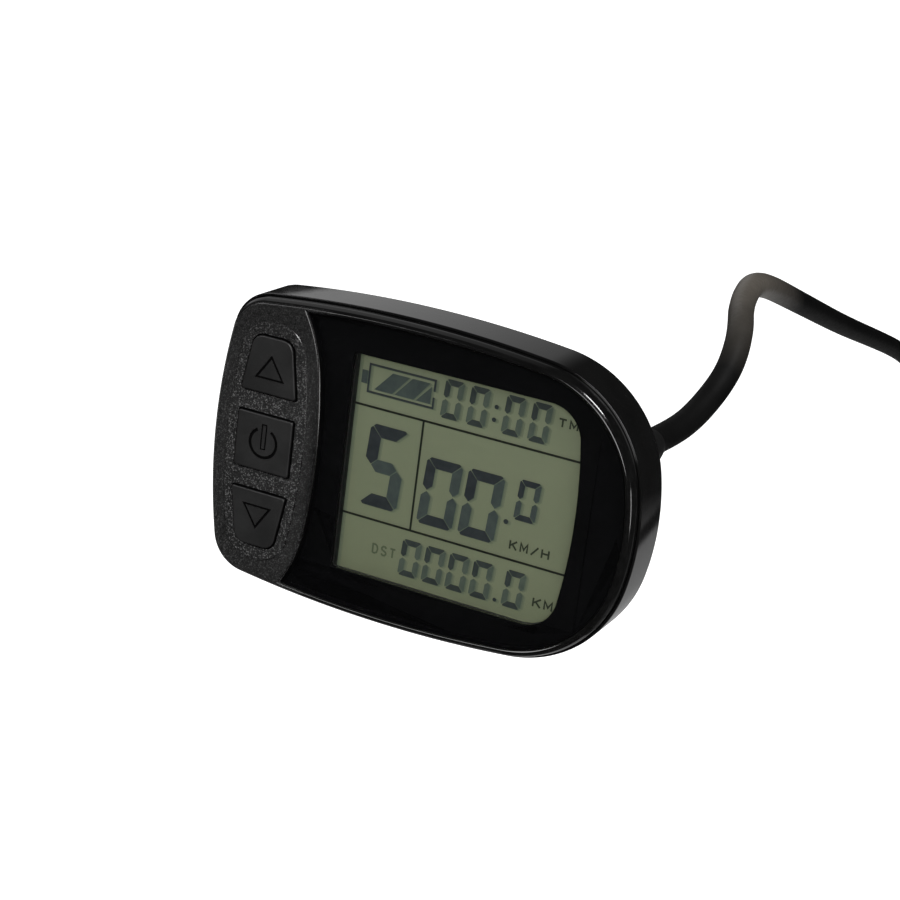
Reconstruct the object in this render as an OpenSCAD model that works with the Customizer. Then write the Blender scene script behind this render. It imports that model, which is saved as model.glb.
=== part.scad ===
// Handlebar display for an electric bicycle: a two-shell housing with a window and three sprung
// buttons, a clamp for the bar behind it, and a lead that ends in a round plug.
// The row frame has its origin on the axis of the bar. X runs along the bar, Y points forwards
// and Z points up. The head is drawn flat, with Z out of the window and its rear face at zero,
// and then tilted back into place.

/* [Housing] */
// Length of the housing from end to end
body_w = 93; // [86:0.5:108]
// Height of the housing across its long edges
body_h = 63.6; // [58:0.2:76]
// Fall of the long edges from their highest point to the right end
edge_drop = 5.15; // [3:0.05:7]
// How far left of the middle the housing is highest
crown_shift = 4.5; // [0:0.5:10]
// How far the right end bulges out
bulge_right = 11.1; // [9:0.1:13]
// How far the left end bulges out
bulge_left = 4.3; // [3:0.1:6]
// Radius of the two right corners
corner_r_right = 25; // [20:0.5:26]
// Radius of the two left corners
corner_r_left = 9; // [8:0.5:12]
// Thickness of the side wall of the rear case
wall_t = 1.8; // [1.6:0.1:2.4]
// Thickness of the floor of the rear case
floor_t = 2.2; // [1.8:0.1:3]
// Radius of the edge round the rear face
rear_round = 1.8; // [0.8:0.1:2]

/* [Front bezel] */
// Width of the bezel from the outline to the window
rim_w = 2.4; // [2:0.1:3]
// Height of the bezel's ridge and the button panel above the window
rim_proud = 0.4; // [0.2:0.05:0.8]
// Height of the window above the seam between the two cases
rim_drop = 2.4; // [2:0.1:2.8]
// Width of the rear case's lip round the bezel
lip_w = 0.45; // [0.3:0.05:0.6]
// Open groove between the lip and the bezel
groove_w = 0.15; // [0.1:0.05:0.3]
// Thickness of the front case behind the panel
panel_t = 2.2; // [1.8:0.1:2.4]
// Thickness of the ledge that carries the window
ledge_t = 1.1; // [0.8:0.1:1.3]
// Width of the button panel at mid height
panel_w = 25; // [22:0.5:29]
// Radius of the middle of the panel's inner edge
panel_edge_r = 120; // [80:5:200]
// Radius of the two ends of the panel's inner edge
panel_end_r = 30; // [24:1:40]
// Distance from a long edge at which the panel's edge starts to curve faster
panel_bend_in = 14.8; // [12:0.1:18]

/* [Window] */
// Thickness of the clear window
lens_t = 1.5; // [1.2:0.1:2]
// Play between the window and its recess
lens_play = 0.1; // [0.05:0.05:0.2]
// Thickness of the printed mask film under the window
mask_t = 0.2; // [0.1:0.05:0.3]
// Distance from the panel's edge to the visible display
window_gap = 4.95; // [4:0.05:8]
// Distance from the visible display to the right end
window_end_gap = 12.85; // [11.5:0.05:18]
// Distance from the visible display to the highest point of a long edge
window_edge = 9.3; // [8:0.1:14]
// Radius of the right corners of the visible display
window_corner_r = 7; // [6:0.5:9]
// Radius of the right side of the visible display
window_end_r = 114; // [90:2:300]
// Depth of the display's face below the mask
lcd_sink = 1.7; // [1.5:0.1:2.2]
// Thickness of one glass plate of the display
glass_t = 1.1; // [0.7:0.1:1.4]
// Width of glass beyond the visible display
glass_margin = 1.1; // [0.9:0.1:1.3]
// Thickness of the backlight
backlight_t = 1.2; // [0.8:0.1:2]

/* [Buttons] */
// Distance from the left end to the raised field round the buttons
field_in = 4.4; // [3.8:0.1:6]
// Distance from the raised field to the panel's inner edge
field_gap = 3; // [2.4:0.1:5]
// Distance from a long edge to the raised field
field_edge = 7; // [5.5:0.1:9]
// Rise of the field above the panel
field_rise = 0.25; // [0.1:0.05:0.4]
// Distance from the side of the field to a button
button_side = 2.45; // [2:0.05:3.5]
// Distance from the end of the field to the outer button
button_end = 2.85; // [2.2:0.05:4]
// Height of the middle button
power_h = 11.8; // [9:0.1:14]
// Space between two buttons
button_space = 4.35; // [3.6:0.05:5.4]
// How far the outer buttons narrow on each side
arrow_taper = 1.95; // [0.5:0.05:2.4]
// Radius of the outer corners of the outer buttons
arrow_corner_r = 2.6; // [1:0.1:3.5]
// Height of a button above the raised field
button_proud = 0.55; // [0.4:0.05:1]
// Play round each button in its hole
button_play = 0.2; // [0.15:0.05:0.3]
// How far a button is pressed in
button_travel = 0.7; // [0.4:0.05:0.85]
// Thickness of the flange that keeps a button in
flange_t = 0.9; // [0.7:0.1:1.1]
// Width of that flange
flange_w = 0.9; // [0.6:0.1:1.1]

/* [Electronics] */
// Thickness of the circuit board
pcb_t = 1.6; // [1:0.2:2]
// Room for parts between the circuit board and the floor
pcb_room = 3.4; // [3:0.1:6]
// Play between the circuit board and the case
pcb_play = 0.6; // [0.4:0.1:1]
// Width of a key switch
switch_w = 6; // [4.5:0.1:7]
// Height of a key switch without its stem
switch_h = 2; // [1.7:0.1:2.4]
// Diameter of a key switch's stem
stem_d = 3; // [2:0.1:3.6]

/* [Mount] */
// Tilt of the head back from upright
tilt = 15; // [0:1:30]
// Radius of the handlebar
bar_r = 11.1; // [9:0.1:16]
// Thickness of the rubber sleeve
sleeve_t = 1.5; // [1:0.1:2.5]
// Width of the clamp along the bar
clamp_w = 18; // [14:0.5:24]
// Wall of the clamp round the sleeve
clamp_wall = 3; // [2.4:0.1:4]
// Open gap between the two halves of the clamp
clamp_gap = 1; // [0.6:0.1:1.4]
// Wall between the clamp's bore and the base plate
saddle_web = 0.8; // [0.5:0.1:3]
// Distance of the bar below the middle of the housing
bar_below = 6; // [2:0.5:8]
// Thickness of the clamp's base plate
base_t = 2.6; // [2:0.1:4]
// How far the base plate reaches past the clamp on each side
base_flange = 9; // [7.5:0.1:13]
// Height of the base plate
base_h = 26; // [22:0.5:32]

/* [Fasteners] */
// Radius of the case screws
case_screw_r = 1; // [0.8:0.05:1.1]
// Plastic left over the tips of the case screws
case_screw_cover = 1.2; // [0.8:0.1:3]
// Distance of the case screws from the outline
case_screw_edge = 3.9; // [3.7:0.1:4.2]
// Radius of the board screws
pcb_screw_r = 0.9; // [0.7:0.05:1.1]
// Plastic left over the tips of the board screws
pcb_screw_cover = 1.6; // [1:0.1:2.5]
// Radius of the base plate's screws
base_screw_r = 1.25; // [1:0.05:1.5]
// Plastic left over the tips of the base plate's screws
base_screw_cover = 1.2; // [0.8:0.1:2]
// Distance of the base plate's screws from the ends of the plate
base_screw_edge = 4.2; // [3.6:0.1:5]
// Radius of the clamp screws
clamp_screw_r = 2; // [1.5:0.1:2.2]
// Radius of the heads of the clamp screws
clamp_head_r = 3.5; // [3.2:0.1:4]
// Height of the heads of the clamp screws
clamp_head_t = 3.6; // [2:0.1:4]
// Width across the flats of the clamp nuts
nut_flats = 7; // [6:0.1:7.6]
// Thickness of the clamp nuts
nut_t = 3.2; // [2.4:0.1:4]

/* [Lead] */
// Diameter of the lead
cable_d = 5.5; // [4.6:0.1:6]
// Angle of the gland above the middle of the right end
gland_turn = 16.8; // [14:0.2:20]
// Radius of the gland's collar
gland_r = 3.7; // [3.5:0.1:4.4]
// Length of the gland's collar behind the housing
gland_len = 6; // [4.5:0.1:8]
// Diameter of one inner wire with its insulation
wire_d = 1; // [0.7:0.05:1.1]

/* [Plug] */
// Diameter of the plug's grip
grip_d = 10; // [9:0.1:13]
// Length of the plug's grip
grip_len = 20; // [16:0.5:26]
// Diameter of the plug's nose
nose_d = 7.8; // [7.2:0.1:8.4]
// Length of the plug's nose
nose_len = 9; // [7:0.5:12]
// Wall of the plug's nose
nose_wall = 0.9; // [0.7:0.1:1.1]
// Length of the plug's relief where the lead enters
relief_len = 11; // [8:0.5:16]
// Diameter of a contact pin
pin_d = 0.9; // [0.7:0.05:1.1]

/* [Hidden] */
// One overrun serves all cuts
cut = 1;
// Play between the tongue of the front case and the wall round it
tongue_play = 0.1;
// Width and length of the tongue of the front case
tongue_w = 1.1;
tongue_len = 2.3;
// Thickness of the flat seal between the two cases
seal_t = 0.8;
// Depth of the lip's shelf below the seam
shelf_drop = 1.5;
// Play of a screw's shank in a plain hole, of the same shank in its own thread, and of its head
hole_play = 0.25;
thread_play = 0.03;
head_play = 0.2;
screw_tip_play = 0.4;
// Radius of a side that is drawn almost straight
flat_r = 4000;
// Segments along the right end, right corner, long edge, left corner and left end
fine_steps = [5, 10, 10, 6, 5];
plain_steps = [4, 5, 1, 3, 1];
corner_steps = 4;
// Rings of the bezel's ridge, as shares of its width and of its rise and drop
ridge_shares = [[0, -1], [0.13, -0.55], [0.32, -0.12], [0.58, 0.85], [0.74, 1]];
// Angles of the rings round the rear edge
round_steps = [0, 22.5, 45, 67.5, 90];

// Levels above the rear face
tray_t = 0.5;
pcb_back_z = floor_t + pcb_room;
pcb_z = pcb_back_z + pcb_t;
backlight_z = pcb_z + tray_t + backlight_t;
glass_seam_z = backlight_z + glass_t;
lcd_z = glass_seam_z + glass_t;
mask_z = lcd_z + lcd_sink;
body_d = mask_z + mask_t + lens_t;
ledge_z = mask_z - ledge_t;
seam_z = body_d - rim_drop;
shelf_z = seam_z - shelf_drop;
flange_seat_z = shelf_z + seal_t;
rim_z = body_d + rim_proud;
field_z = rim_z + field_rise;
cap_z = field_z + button_proud;
under_z = rim_z - panel_t;

// Inset of the bezel's foot, the tongue and the hollow from the outline
foot_in = lip_w + groove_w;
tongue_in = wall_t + tongue_play;
cavity_in = tongue_in + tongue_w;

// Outline of the housing, whose corners shrink where its ends get too low for them
corner_limit_share = 0.94;
edge_r = radius_of(body_w / 2 + crown_shift, edge_drop);
end_r_right = radius_of(body_h / 2, bulge_right);
end_r_left = radius_of(body_h / 2, bulge_left);
corner_right = min(corner_r_right, (body_h / 2 - edge_drop) * corner_limit_share);
BODY = [-body_w / 2, body_w / 2, body_h / 2, -crown_shift, edge_r, end_r_left, end_r_right,
    corner_r_left, corner_right];

// Visible display
panel_x = panel_w - body_w / 2;
panel_bend_y = body_h / 2 - panel_bend_in;
window_x = panel_x + window_gap;
window_w = body_w - panel_w - window_gap - window_end_gap;
window_h = body_h - window_edge * 2;
window_corner_left = 0.3;
WINDOW = [window_x, window_x + window_w, window_h / 2, window_x + window_w / 2, flat_r, flat_r,
    window_end_r, window_corner_left, window_corner_r];
// The glass is cut shorter across its right corners
glass_corner_more = 1.5;
GLASS = [window_x - glass_margin, window_x + window_w + glass_margin, window_h / 2 + glass_margin,
    window_x + window_w / 2, flat_r, flat_r, window_end_r + glass_margin,
    window_corner_left + glass_margin, window_corner_r + glass_margin + glass_corner_more];
gasket_w = 0.9;
gasket_play = 0.2;
tray_wall = 0.8;
tray_play = 0.15;
strip_w = 1.6;
strip_in = 0.3;
rear_glass_cut = 2.6;
strip_y = window_h / 2 + glass_margin - strip_in - strip_w / 2;

// Buttons
field_w = panel_w - field_in - field_gap;
field_h = body_h - field_edge * 2;
field_end_bulge = 1.7;
field_side_bulge = 2.8;
field_corner_share = 0.37;
field_end_r = radius_of(field_w / 2, field_end_bulge);
field_side_r = radius_of(field_h / 2, field_side_bulge);
field_corner_r = field_w * field_corner_share;
button_x = field_in + field_w / 2 - body_w / 2;
button_w = field_w - button_side * 2;
FIELD = [button_x - field_w / 2, button_x + field_w / 2, field_h / 2, button_x, field_end_r,
    field_side_r, field_side_r, field_corner_r, field_corner_r];
arrow_y = power_h / 2 + button_space;
arrow_h = field_h / 2 - button_end - arrow_y;
arrow_end_w = button_w - arrow_taper * 2;
power_corner_r = 0.5;
cap_bevel = 0.35;
web_play = 0.3;
web_edge = 0.6;
flange_play = 0.1;
flange_z = under_z - flange_play;
stem_rise = 1;
stem_z = pcb_z + switch_h + stem_rise;
stem_play = 0.08;
plunger_more = 1;
switch_floor_t = 0.2;
dome_t = 0.1;
stem_low_z = pcb_z + switch_floor_t + dome_t + button_travel;
switch_y = arrow_y + arrow_h / 2;

// Screws of the cases and of the board
screw_turn_right = 45;
screw_turn_left = 104;
boss_r = 2;
column_r = 2.2;
column_play = 0.1;
boss_play = 0.25;
case_head_r = 1.9;
case_head_t = 1.2;
case_head_seat = 1.5;
pcb_head_r = 1.7;
pcb_head_t = 1.2;
pcb_boss_r = 2.2;
pcb_screw_edge = 2.4;
pcb_screw_back = 1;
pcb_screw_in = 6.2;
pcb_screw_down = 8;
head_slot_share = 0.5;
head_slot_w = 0.5;
head_slot_t = 0.6;

// Gland, which stands against the right end's wall
bore_play = 0.05;
gland_least = 0.3;
gland_in = wall_t + cable_d / 2 + bore_play + gland_least;
gland_place = [body_w / 2 - end_r_right, 0] + polar(end_r_right - gland_in, gland_turn);
gland_neck_r = 3.3;
gland_flange_r = 4.2;
gland_flange_t = 1.2;
gland_tip_r = 3.2;
gland_tip_len = 2.4;
tail_in = 1.4;

// Parts on the back of the board
header_w = 12;
header_h = 5;
header_t = 2.6;
header_wall = 0.6;
header_play = 0.1;
wire_reach = 11;
wire_count = 5;
wire_pitch = 1.8;
wire_play = 0.1;
header_place = gland_place - [wire_reach + header_h / 2, 0];
chip_w = 7;
chip_t = 1;
parts_down = 18.8;
regulator_w = 6;
regulator_h = 9;
regulator_t = 2.2;
capacitor_in = 18.3;
capacitor_r = 2.4;
capacitor_h = 2.4;
capacitor_pitch = 7.2;
regulator_x = capacitor_in + capacitor_pitch * 2 - body_w / 2;
chip_x = (header_place[0] - header_h / 2 + regulator_x + regulator_w) / 2;

// Clamp
base_w = clamp_w + base_flange * 2;
bar_back = bar_r + sleeve_t + saddle_web + base_t;
clamp_bore_r = bar_r + sleeve_t;
clamp_out_r = clamp_bore_r + clamp_wall;
clamp_head_gap = 1.2;
clamp_screw_y = clamp_out_r + clamp_head_r + clamp_head_gap;
ear_rim = 1.2;
ear_y = clamp_screw_y + clamp_head_r + head_play + ear_rim;
ear_corner_r = 4.5;
base_corner_r = 4;
foot_edge = 1;
clamp_seat_t = 2.4;
nut_floor_t = 2.1;
nut_recess = 0.7;
nut_play = 0.2;
saddle_ear_t = nut_floor_t + nut_t + nut_recess;
cap_ear_t = clamp_seat_t + clamp_head_t;
clamp_tip = 1.3;
hex_socket_r = 1.7;
hex_socket_t = 1.8;
base_screw_side = 4.5;
base_head_r = 2.5;
base_head_t = 1.2;
base_boss_r = 2.3;
base_boss_gap = 0.4;
boss_rib_w = 1;
boss_rib_t = 1;
sleeve_fit = 0.02;
sleeve_lip_t = 1.2;
sleeve_lip_gap = 0.1;
sleeve_slit = 0.8;

// Plug
collar_len = 2;
collar_d = 8.6;
seal_ring_r = 0.5;
pin_ring_r = 1.9;
pin_len = 6;
pin_count = 5;
insert_len = 4;
rib_count = 4;
rib_w = 1;
rib_h = 0.5;
rib_pitch = 2.4;

// The lead's route behind the gland in the row frame, chosen by hand
cable_lead = 5;
cable_points = [
    [41, 8, 18.5], [42, 14, 19], [43, 20, 20.5], [44, 26, 23.5], [43.5, 32, 26.5],
    [41.5, 39, 27.5], [39, 46, 26.5], [37, 54, 26], [35.5, 64, 24], [34.5, 79, 16.5],
    [33.5, 99, 4], [33, 119, -8], [32, 140, -21], [31.5, 164, -35.5], [31, 188, -49.5],
    [31, 212, -64], [32, 230, -76], [36, 247, -92], [40, 260, -112], [43, 268, -135],
    [44, 270, -158], [44, 270, -180], [44, 270, -195]];
cable_steps = 3;
cable_sides = 10;
plug_top = cable_points[len(cable_points) - 1];

// Functions for arcs and outlines

function polar(r, a) = [r * cos(a), r * sin(a)];
function turn_of(v) = (atan2(v[1], v[0]) + 360) % 360;
// Radius of an arc from its half chord and its rise
function radius_of(half, rise) = (half * half + rise * rise) / (rise * 2);
function arc(c, r, a1, a2, n) = [for (i = [0:n - 1]) c + polar(r, a1 + (a2 - a1) * i / n)];

// Of the two points where two circles cross, the upper one and the one on the side called way
function crossing(c1, r1, c2, r2, way) =
    let (d = norm(c2 - c1), a = (r1 * r1 - r2 * r2 + d * d) / (2 * d))
    let (h = sqrt(r1 * r1 - a * a), u = (c2 - c1) / d, side = h * [-u[1], u[0]])
    let (p = c1 + a * u + side, q = c1 + a * u - side)
    (p - q) * [way, 1] > 0 ? p : q;

// Centres of the long edge, right end, left end, right corner and left corner of an outline
function centres(s) =
    let (top = [s[3], s[2] - s[4]], right = [s[1] - s[6], 0], left = [s[0] + s[5], 0])
    [top, right, left, crossing(top, s[4] - s[8], right, s[6] - s[8], 1),
        crossing(top, s[4] - s[7], left, s[5] - s[7], -1)];

// Upper half of an outline of tangent arcs, moved in by inset
function half_outline(s, inset, n) =
    let (c = centres(s), a1 = turn_of(c[3] - c[1]), a2 = turn_of(c[3] - c[0]))
    let (a3 = turn_of(c[4] - c[0]), a4 = turn_of(c[4] - c[2]))
    concat(arc(c[1], s[6] - inset, 0, a1, n[0]), arc(c[3], s[8] - inset, a1, a2, n[1]),
        arc(c[0], s[4] - inset, a2, a3, n[2]), arc(c[4], s[7] - inset, a3, a4, n[3]),
        arc(c[2], s[5] - inset, a4, 180, n[4]), [[s[0] + inset, 0]]);

function closed(half) = concat(half, [for (i = [len(half) - 2:-1:1]) [half[i][0], -half[i][1]]]);
function outline(s, inset, n = fine_steps) = closed(half_outline(s, inset, n));

// Outline of a polygon with rounded corners
function rounded(pts, radii) = [for (i = [0:len(pts) - 1])
    let (n = len(pts), p = pts[i], a = pts[(i + n - 1) % n] - p, b = pts[(i + 1) % n] - p)
    let (ua = a / norm(a), ub = b / norm(b), mid = ua + ub, r = radii[i])
    let (half = acos(ua * ub) / 2, c = p + mid / norm(mid) * r / sin(half))
    let (a1 = turn_of(p + ua * r / tan(half) - c), a2 = turn_of(p + ub * r / tan(half) - c))
    let (sweep = (a2 - a1 + 540) % 360 - 180)
    for (k = [0:corner_steps]) c + polar(r, a1 + sweep * k / corner_steps)];

// Outline of the upper button, grown on every side; the lower one is its mirror image
function arrow_outline(grow) =
    let (lean = (button_w - arrow_end_w) / 2 / arrow_h)
    let (low = button_w / 2 + grow + lean * grow, high = arrow_end_w / 2 + grow - lean * grow)
    let (end_r = min(arrow_corner_r, arrow_end_w / 2 - cap_bevel) + grow)
    rounded([[button_x - low, arrow_y - grow], [button_x + low, arrow_y - grow],
        [button_x + high, arrow_y + arrow_h + grow], [button_x - high, arrow_y + arrow_h + grow]],
        [power_corner_r + max(grow, 0), power_corner_r + max(grow, 0), end_r, end_r]);
function power_outline(grow) =
    let (x = button_w / 2 + grow, y = power_h / 2 + grow, r = power_corner_r + max(grow, 0))
    rounded([[button_x - x, -y], [button_x + x, -y], [button_x + x, y], [button_x - x, y]],
        [r, r, r, r]);

// Places of the case screws along the outline's corners, of the board's screws and of the
// screws in the base plate
function case_screw_places() =
    let (c = centres(BODY))
    let (right = c[3] + polar(corner_right - case_screw_edge, screw_turn_right))
    let (left = c[4] + polar(corner_r_left - case_screw_edge, screw_turn_left))
    [right, [right[0], -right[1]], left, [left[0], -left[1]]];
function pcb_screw_places() =
    let (x = panel_x - pcb_screw_back, y = body_h / 2 - cavity_in - pcb_play - pcb_screw_edge)
    [[x, y], [x, -y], [body_w / 2 - pcb_screw_in, -pcb_screw_down]];
function base_screw_places() = [for (x = [-1, 1]) for (y = [-1, 1])
    [x * (base_w / 2 - base_screw_edge), y * (base_h / 2 - base_screw_side) - bar_below]];

// Turns a point of the flat head into the row frame
function in_row(p) =
    let (y = p[1] + bar_below, z = p[2] + bar_back)
    [p[0], sin(tilt) * y - cos(tilt) * z, cos(tilt) * y + sin(tilt) * z];
back_way = [0, cos(tilt), -sin(tilt)];

// A smooth curve through points, by the rule of Catmull and Rom
function smooth_at(a, b, c, d, t) =
    (2 * b + (c - a) * t + (2 * a - 5 * b + 4 * c - d) * t * t
        + (3 * b - a - 3 * c + d) * t * t * t) / 2;
function smooth_curve(p, steps) =
    let (n = len(p), q = concat([2 * p[0] - p[1]], p, [2 * p[n - 1] - p[n - 2]]))
    concat([for (i = [0:n - 2]) for (k = [0:steps - 1])
        smooth_at(q[i], q[i + 1], q[i + 2], q[i + 3], k / steps)], [p[n - 1]]);
function unit(v) = v / norm(v);

// A tube along points, with one ring at each
module tube(p, d, sides, first_way, last_way) {
    n = len(p);
    ways = [for (i = [0:n - 1]) i == 0 ? first_way : i == n - 1 ? last_way :
        unit(unit(p[i + 1] - p[i]) + unit(p[i] - p[i - 1]))];
    pts = [for (i = [0:n - 1])
        let (u = unit(cross(ways[i], [1, 0, 0])), w = cross(ways[i], u))
        for (k = [0:sides - 1])
            p[i] + d / 2 * (u * cos(360 * k / sides) + w * sin(360 * k / sides))];
    polyhedron(points = pts, faces = tube_faces(n, sides), convexity = 6);
}
function tube_faces(rings, sides) = concat(
    [[for (k = [0:sides - 1]) k]],
    [[for (k = [sides - 1:-1:0]) (rings - 1) * sides + k]],
    [for (i = [0:rings - 2]) for (k = [0:sides - 1])
        let (a = i * sides + k, b = i * sides + (k + 1) % sides)
        [a, a + sides, b + sides, b]]);

// A solid through outlines with the same number of points, each at its own level
module stack(rings) {
    pts = [for (r = rings) for (p = r[0]) [p[0], p[1], r[1]]];
    polyhedron(points = pts, faces = tube_faces(len(rings), len(rings[0][0])), convexity = 4);
}
module plate(pts, low, high) {
    translate([0, 0, low]) linear_extrude(high - low) polygon(pts);
}
module body_plate(inset, low, high) {
    plate(outline(BODY, inset), low, high);
}
module post(place, r, low, high) {
    translate([place[0], place[1], low]) cylinder(r = r, h = high - low, $fn = 48);
}

// Puts the flat head into its place in the row frame
module tilted() {
    translate([0, sin(tilt) * bar_below - cos(tilt) * bar_back,
        cos(tilt) * bar_below + sin(tilt) * bar_back])
        rotate([90 - tilt, 0, 0]) children();
}

// The clear region of the bezel: everything to the right of the button panel's edge
module panel_side(low, high, play) {
    turn = asin(panel_bend_y / panel_edge_r);
    middle = [panel_x - panel_edge_r, 0];
    joint = middle + polar(panel_edge_r, turn);
    end = joint - polar(panel_end_r, turn);
    end_turn = asin((body_h / 2 - end[1]) / panel_end_r);
    half = concat(arc(middle, panel_edge_r + play, 0, turn, fine_steps[0]),
        arc(end, panel_end_r + play, turn, end_turn, fine_steps[3]),
        [end + polar(panel_end_r + play, end_turn), [-body_w, body_h / 2]]);
    translate([0, 0, low]) linear_extrude(high - low)
        polygon(concat([for (i = [len(half) - 1:-1:1]) [half[i][0], -half[i][1]]], half));
}

module lens_shape(play, low, high) {
    difference() {
        body_plate(rim_w + play, low, high);
        panel_side(low - cut, high + cut, play);
    }
}

// Front case: bezel ridge, button panel, ledge for the window, tongue and screw bosses
module front_case() {
    tongue_low = flange_seat_z - tongue_len;
    color("#1b1c1e") tilted() difference() {
        union() {
            difference() {
                union() {
                    bezel_and_panel();
                    tongue(tongue_low);
                }
                // the recess of the window, and the opening behind the visible display
                lens_shape(0, mask_z, rim_z + cut);
                plate(outline(WINDOW, -gasket_play, plain_steps), flange_seat_z - cut, mask_z + cut);
                // the hollow behind the ledge and behind the panel
                body_plate(cavity_in, tongue_low - cut, ledge_z);
                difference() {
                    body_plate(cavity_in, tongue_low - cut, under_z);
                    lens_shape(-ledge_t, tongue_low - cut * 2, under_z + cut);
                }
                button_holes();
            }
            front_bosses();
        }
        for (p = case_screw_places())
            post(p, case_screw_r + thread_play, 0, over_boss(p) - case_screw_cover + screw_tip_play);
        for (p = pcb_screw_places())
            post(p, pcb_screw_r + thread_play, 0, over_boss(p) - pcb_screw_cover + screw_tip_play);
    }
}
module bezel_and_panel() {
    stack(concat([[outline(BODY, foot_in), flange_seat_z]], [for (s = ridge_shares)
        [outline(BODY, foot_in + s[0] * (rim_w - foot_in)),
            s[1] < 0 ? body_d + s[1] * rim_drop : body_d + s[1] * rim_proud]]));
    plate(outline(FIELD, 0), under_z, field_z);
}
module tongue(low) {
    difference() {
        body_plate(tongue_in, low, flange_seat_z + cut);
        body_plate(cavity_in, low - cut, flange_seat_z + cut * 2);
    }
}
module button_holes() {
    low = ledge_z - cut;
    high = field_z + cut;
    plate(power_outline(button_play), low, high);
    plate(arrow_outline(button_play), low, high);
    mirror([0, 1, 0]) plate(arrow_outline(button_play), low, high);
}
module front_bosses() {
    intersection() {
        for (p = case_screw_places()) post(p, boss_r, pcb_z + boss_play, over_boss(p));
        body_plate(tongue_in, 0, rim_z);
    }
    for (p = pcb_screw_places()) post(p, pcb_boss_r, pcb_z, over_boss(p));
}
// Level of the plastic that a boss hangs from
function over_boss(p) = p[0] > panel_x - window_gap ? ledge_z : under_z;
// Levels of the tips of the screws, which all have the same length within a set
case_tip_z = ledge_z - case_screw_cover;
pcb_tip_z = ledge_z - pcb_screw_cover;

// Rear case: rounded tray with lip, screw columns, gland hole and seats for the saddle's screws
module rear_case() {
    boss_z = pcb_back_z - base_boss_gap;
    color("#0e0f10") tilted() difference() {
        union() {
            difference() {
                stack(concat([for (a = round_steps)
                    [outline(BODY, rear_round * (1 - sin(a))), rear_round * (1 - cos(a))]],
                    [[outline(BODY, 0), seam_z - groove_w],
                    [outline(BODY, groove_w), seam_z]]));
                body_plate(wall_t, floor_t, seam_z + cut);
                body_plate(lip_w, shelf_z, seam_z + cut);
            }
            intersection() {
                for (p = case_screw_places()) post(p, column_r, floor_t / 2, pcb_z - column_play);
                body_plate(wall_t / 2, 0, shelf_z);
            }
            for (p = base_screw_places()) post(p, base_boss_r, floor_t / 2, boss_z);
            boss_ribs();
        }
        for (p = case_screw_places()) {
            post(p, case_head_r + head_play, -cut, case_head_seat);
            post(p, case_screw_r + hole_play, 0, pcb_z);
        }
        for (p = base_screw_places())
            post(p, base_screw_r + thread_play, -cut, boss_z - base_screw_cover + screw_tip_play);
        gland_hole(gland_neck_r, -cut, floor_t + cut);
    }
}
// Ribs that join the seats of the saddle's screws
module boss_ribs() {
    x = base_w / 2 - base_screw_edge;
    y = base_h / 2 - base_screw_side;
    for (m = [-1, 1]) {
        translate([-x, m * y - bar_below - boss_rib_w / 2, floor_t / 2])
            cube([x * 2, boss_rib_w, floor_t / 2 + boss_rib_t]);
        translate([m * x - boss_rib_w / 2, -y - bar_below, floor_t / 2])
            cube([boss_rib_w, y * 2, floor_t / 2 + boss_rib_t]);
    }
}
// The gland's hole stops at the side wall
module gland_hole(r, low, high) {
    intersection() {
        post(gland_place, r, low, high);
        body_plate(wall_t, low - cut, high + cut);
    }
}

module case_seal() {
    color("#303030") tilted() difference() {
        body_plate(foot_in, shelf_z, flange_seat_z);
        body_plate(wall_t - tongue_play, shelf_z - cut, flange_seat_z + cut);
    }
}

module window_lens() {
    color("#151618") tilted() lens_shape(lens_play, mask_z + mask_t, body_d);
}

module lens_mask() {
    color("#050505") tilted() difference() {
        lens_shape(lens_play, mask_z, mask_z + mask_t);
        plate(outline(WINDOW, 0, plain_steps), mask_z - cut, mask_z + mask_t + cut);
    }
}

module lcd_gasket() {
    color("#202020") tilted() difference() {
        plate(outline(WINDOW, -gasket_w, plain_steps), lcd_z, ledge_z);
        plate(outline(WINDOW, -gasket_play, plain_steps), lcd_z - cut, ledge_z + cut);
    }
}

module lcd_glass() {
    color("#6c7358") tilted() plate(outline(GLASS, 0, plain_steps), glass_seam_z, lcd_z);
}

// The rear plate is shorter above and below, so that the contact strips reach the front plate
module lcd_rear_glass() {
    color("#7b8266") tilted() rear_plate(backlight_z, glass_seam_z);
}
module rear_plate(low, high) {
    y = window_h / 2 + glass_margin - rear_glass_cut;
    intersection() {
        plate(outline(GLASS, 0, plain_steps), low, high);
        translate([-body_w, -y, low - cut]) cube([body_w * 2, y * 2, high - low + cut * 2]);
    }
}

module backlight() {
    color("#e8e8e0") tilted() rear_plate(pcb_z + tray_t, backlight_z);
}

// Tray with a floor, a wall round the glass and a slot for each contact strip
module lcd_tray() {
    color("#d8d8d4") tilted() difference() {
        plate(outline(GLASS, -tray_play - tray_wall, plain_steps), pcb_z, glass_seam_z);
        plate(outline(GLASS, -tray_play, plain_steps), pcb_z + tray_t, glass_seam_z + cut);
        for (m = [0, 1]) mirror([0, m, 0]) strip(tray_play, pcb_z - cut, lcd_z);
        for (p = case_screw_places()) post(p, boss_r + boss_play, pcb_z - cut, lcd_z);
        for (p = pcb_screw_places()) post(p, pcb_boss_r + boss_play, pcb_z - cut, lcd_z);
    }
}
module strip(play, low, high) {
    translate([window_x - play, strip_y - strip_w / 2 - play, low])
        cube([window_w - window_corner_r * 2 + play * 2, strip_w + play * 2, high - low]);
}
module contact_strips() {
    color("#c8b8a8") tilted() for (m = [0, 1]) mirror([0, m, 0]) strip(0, pcb_z, glass_seam_z);
}

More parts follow.
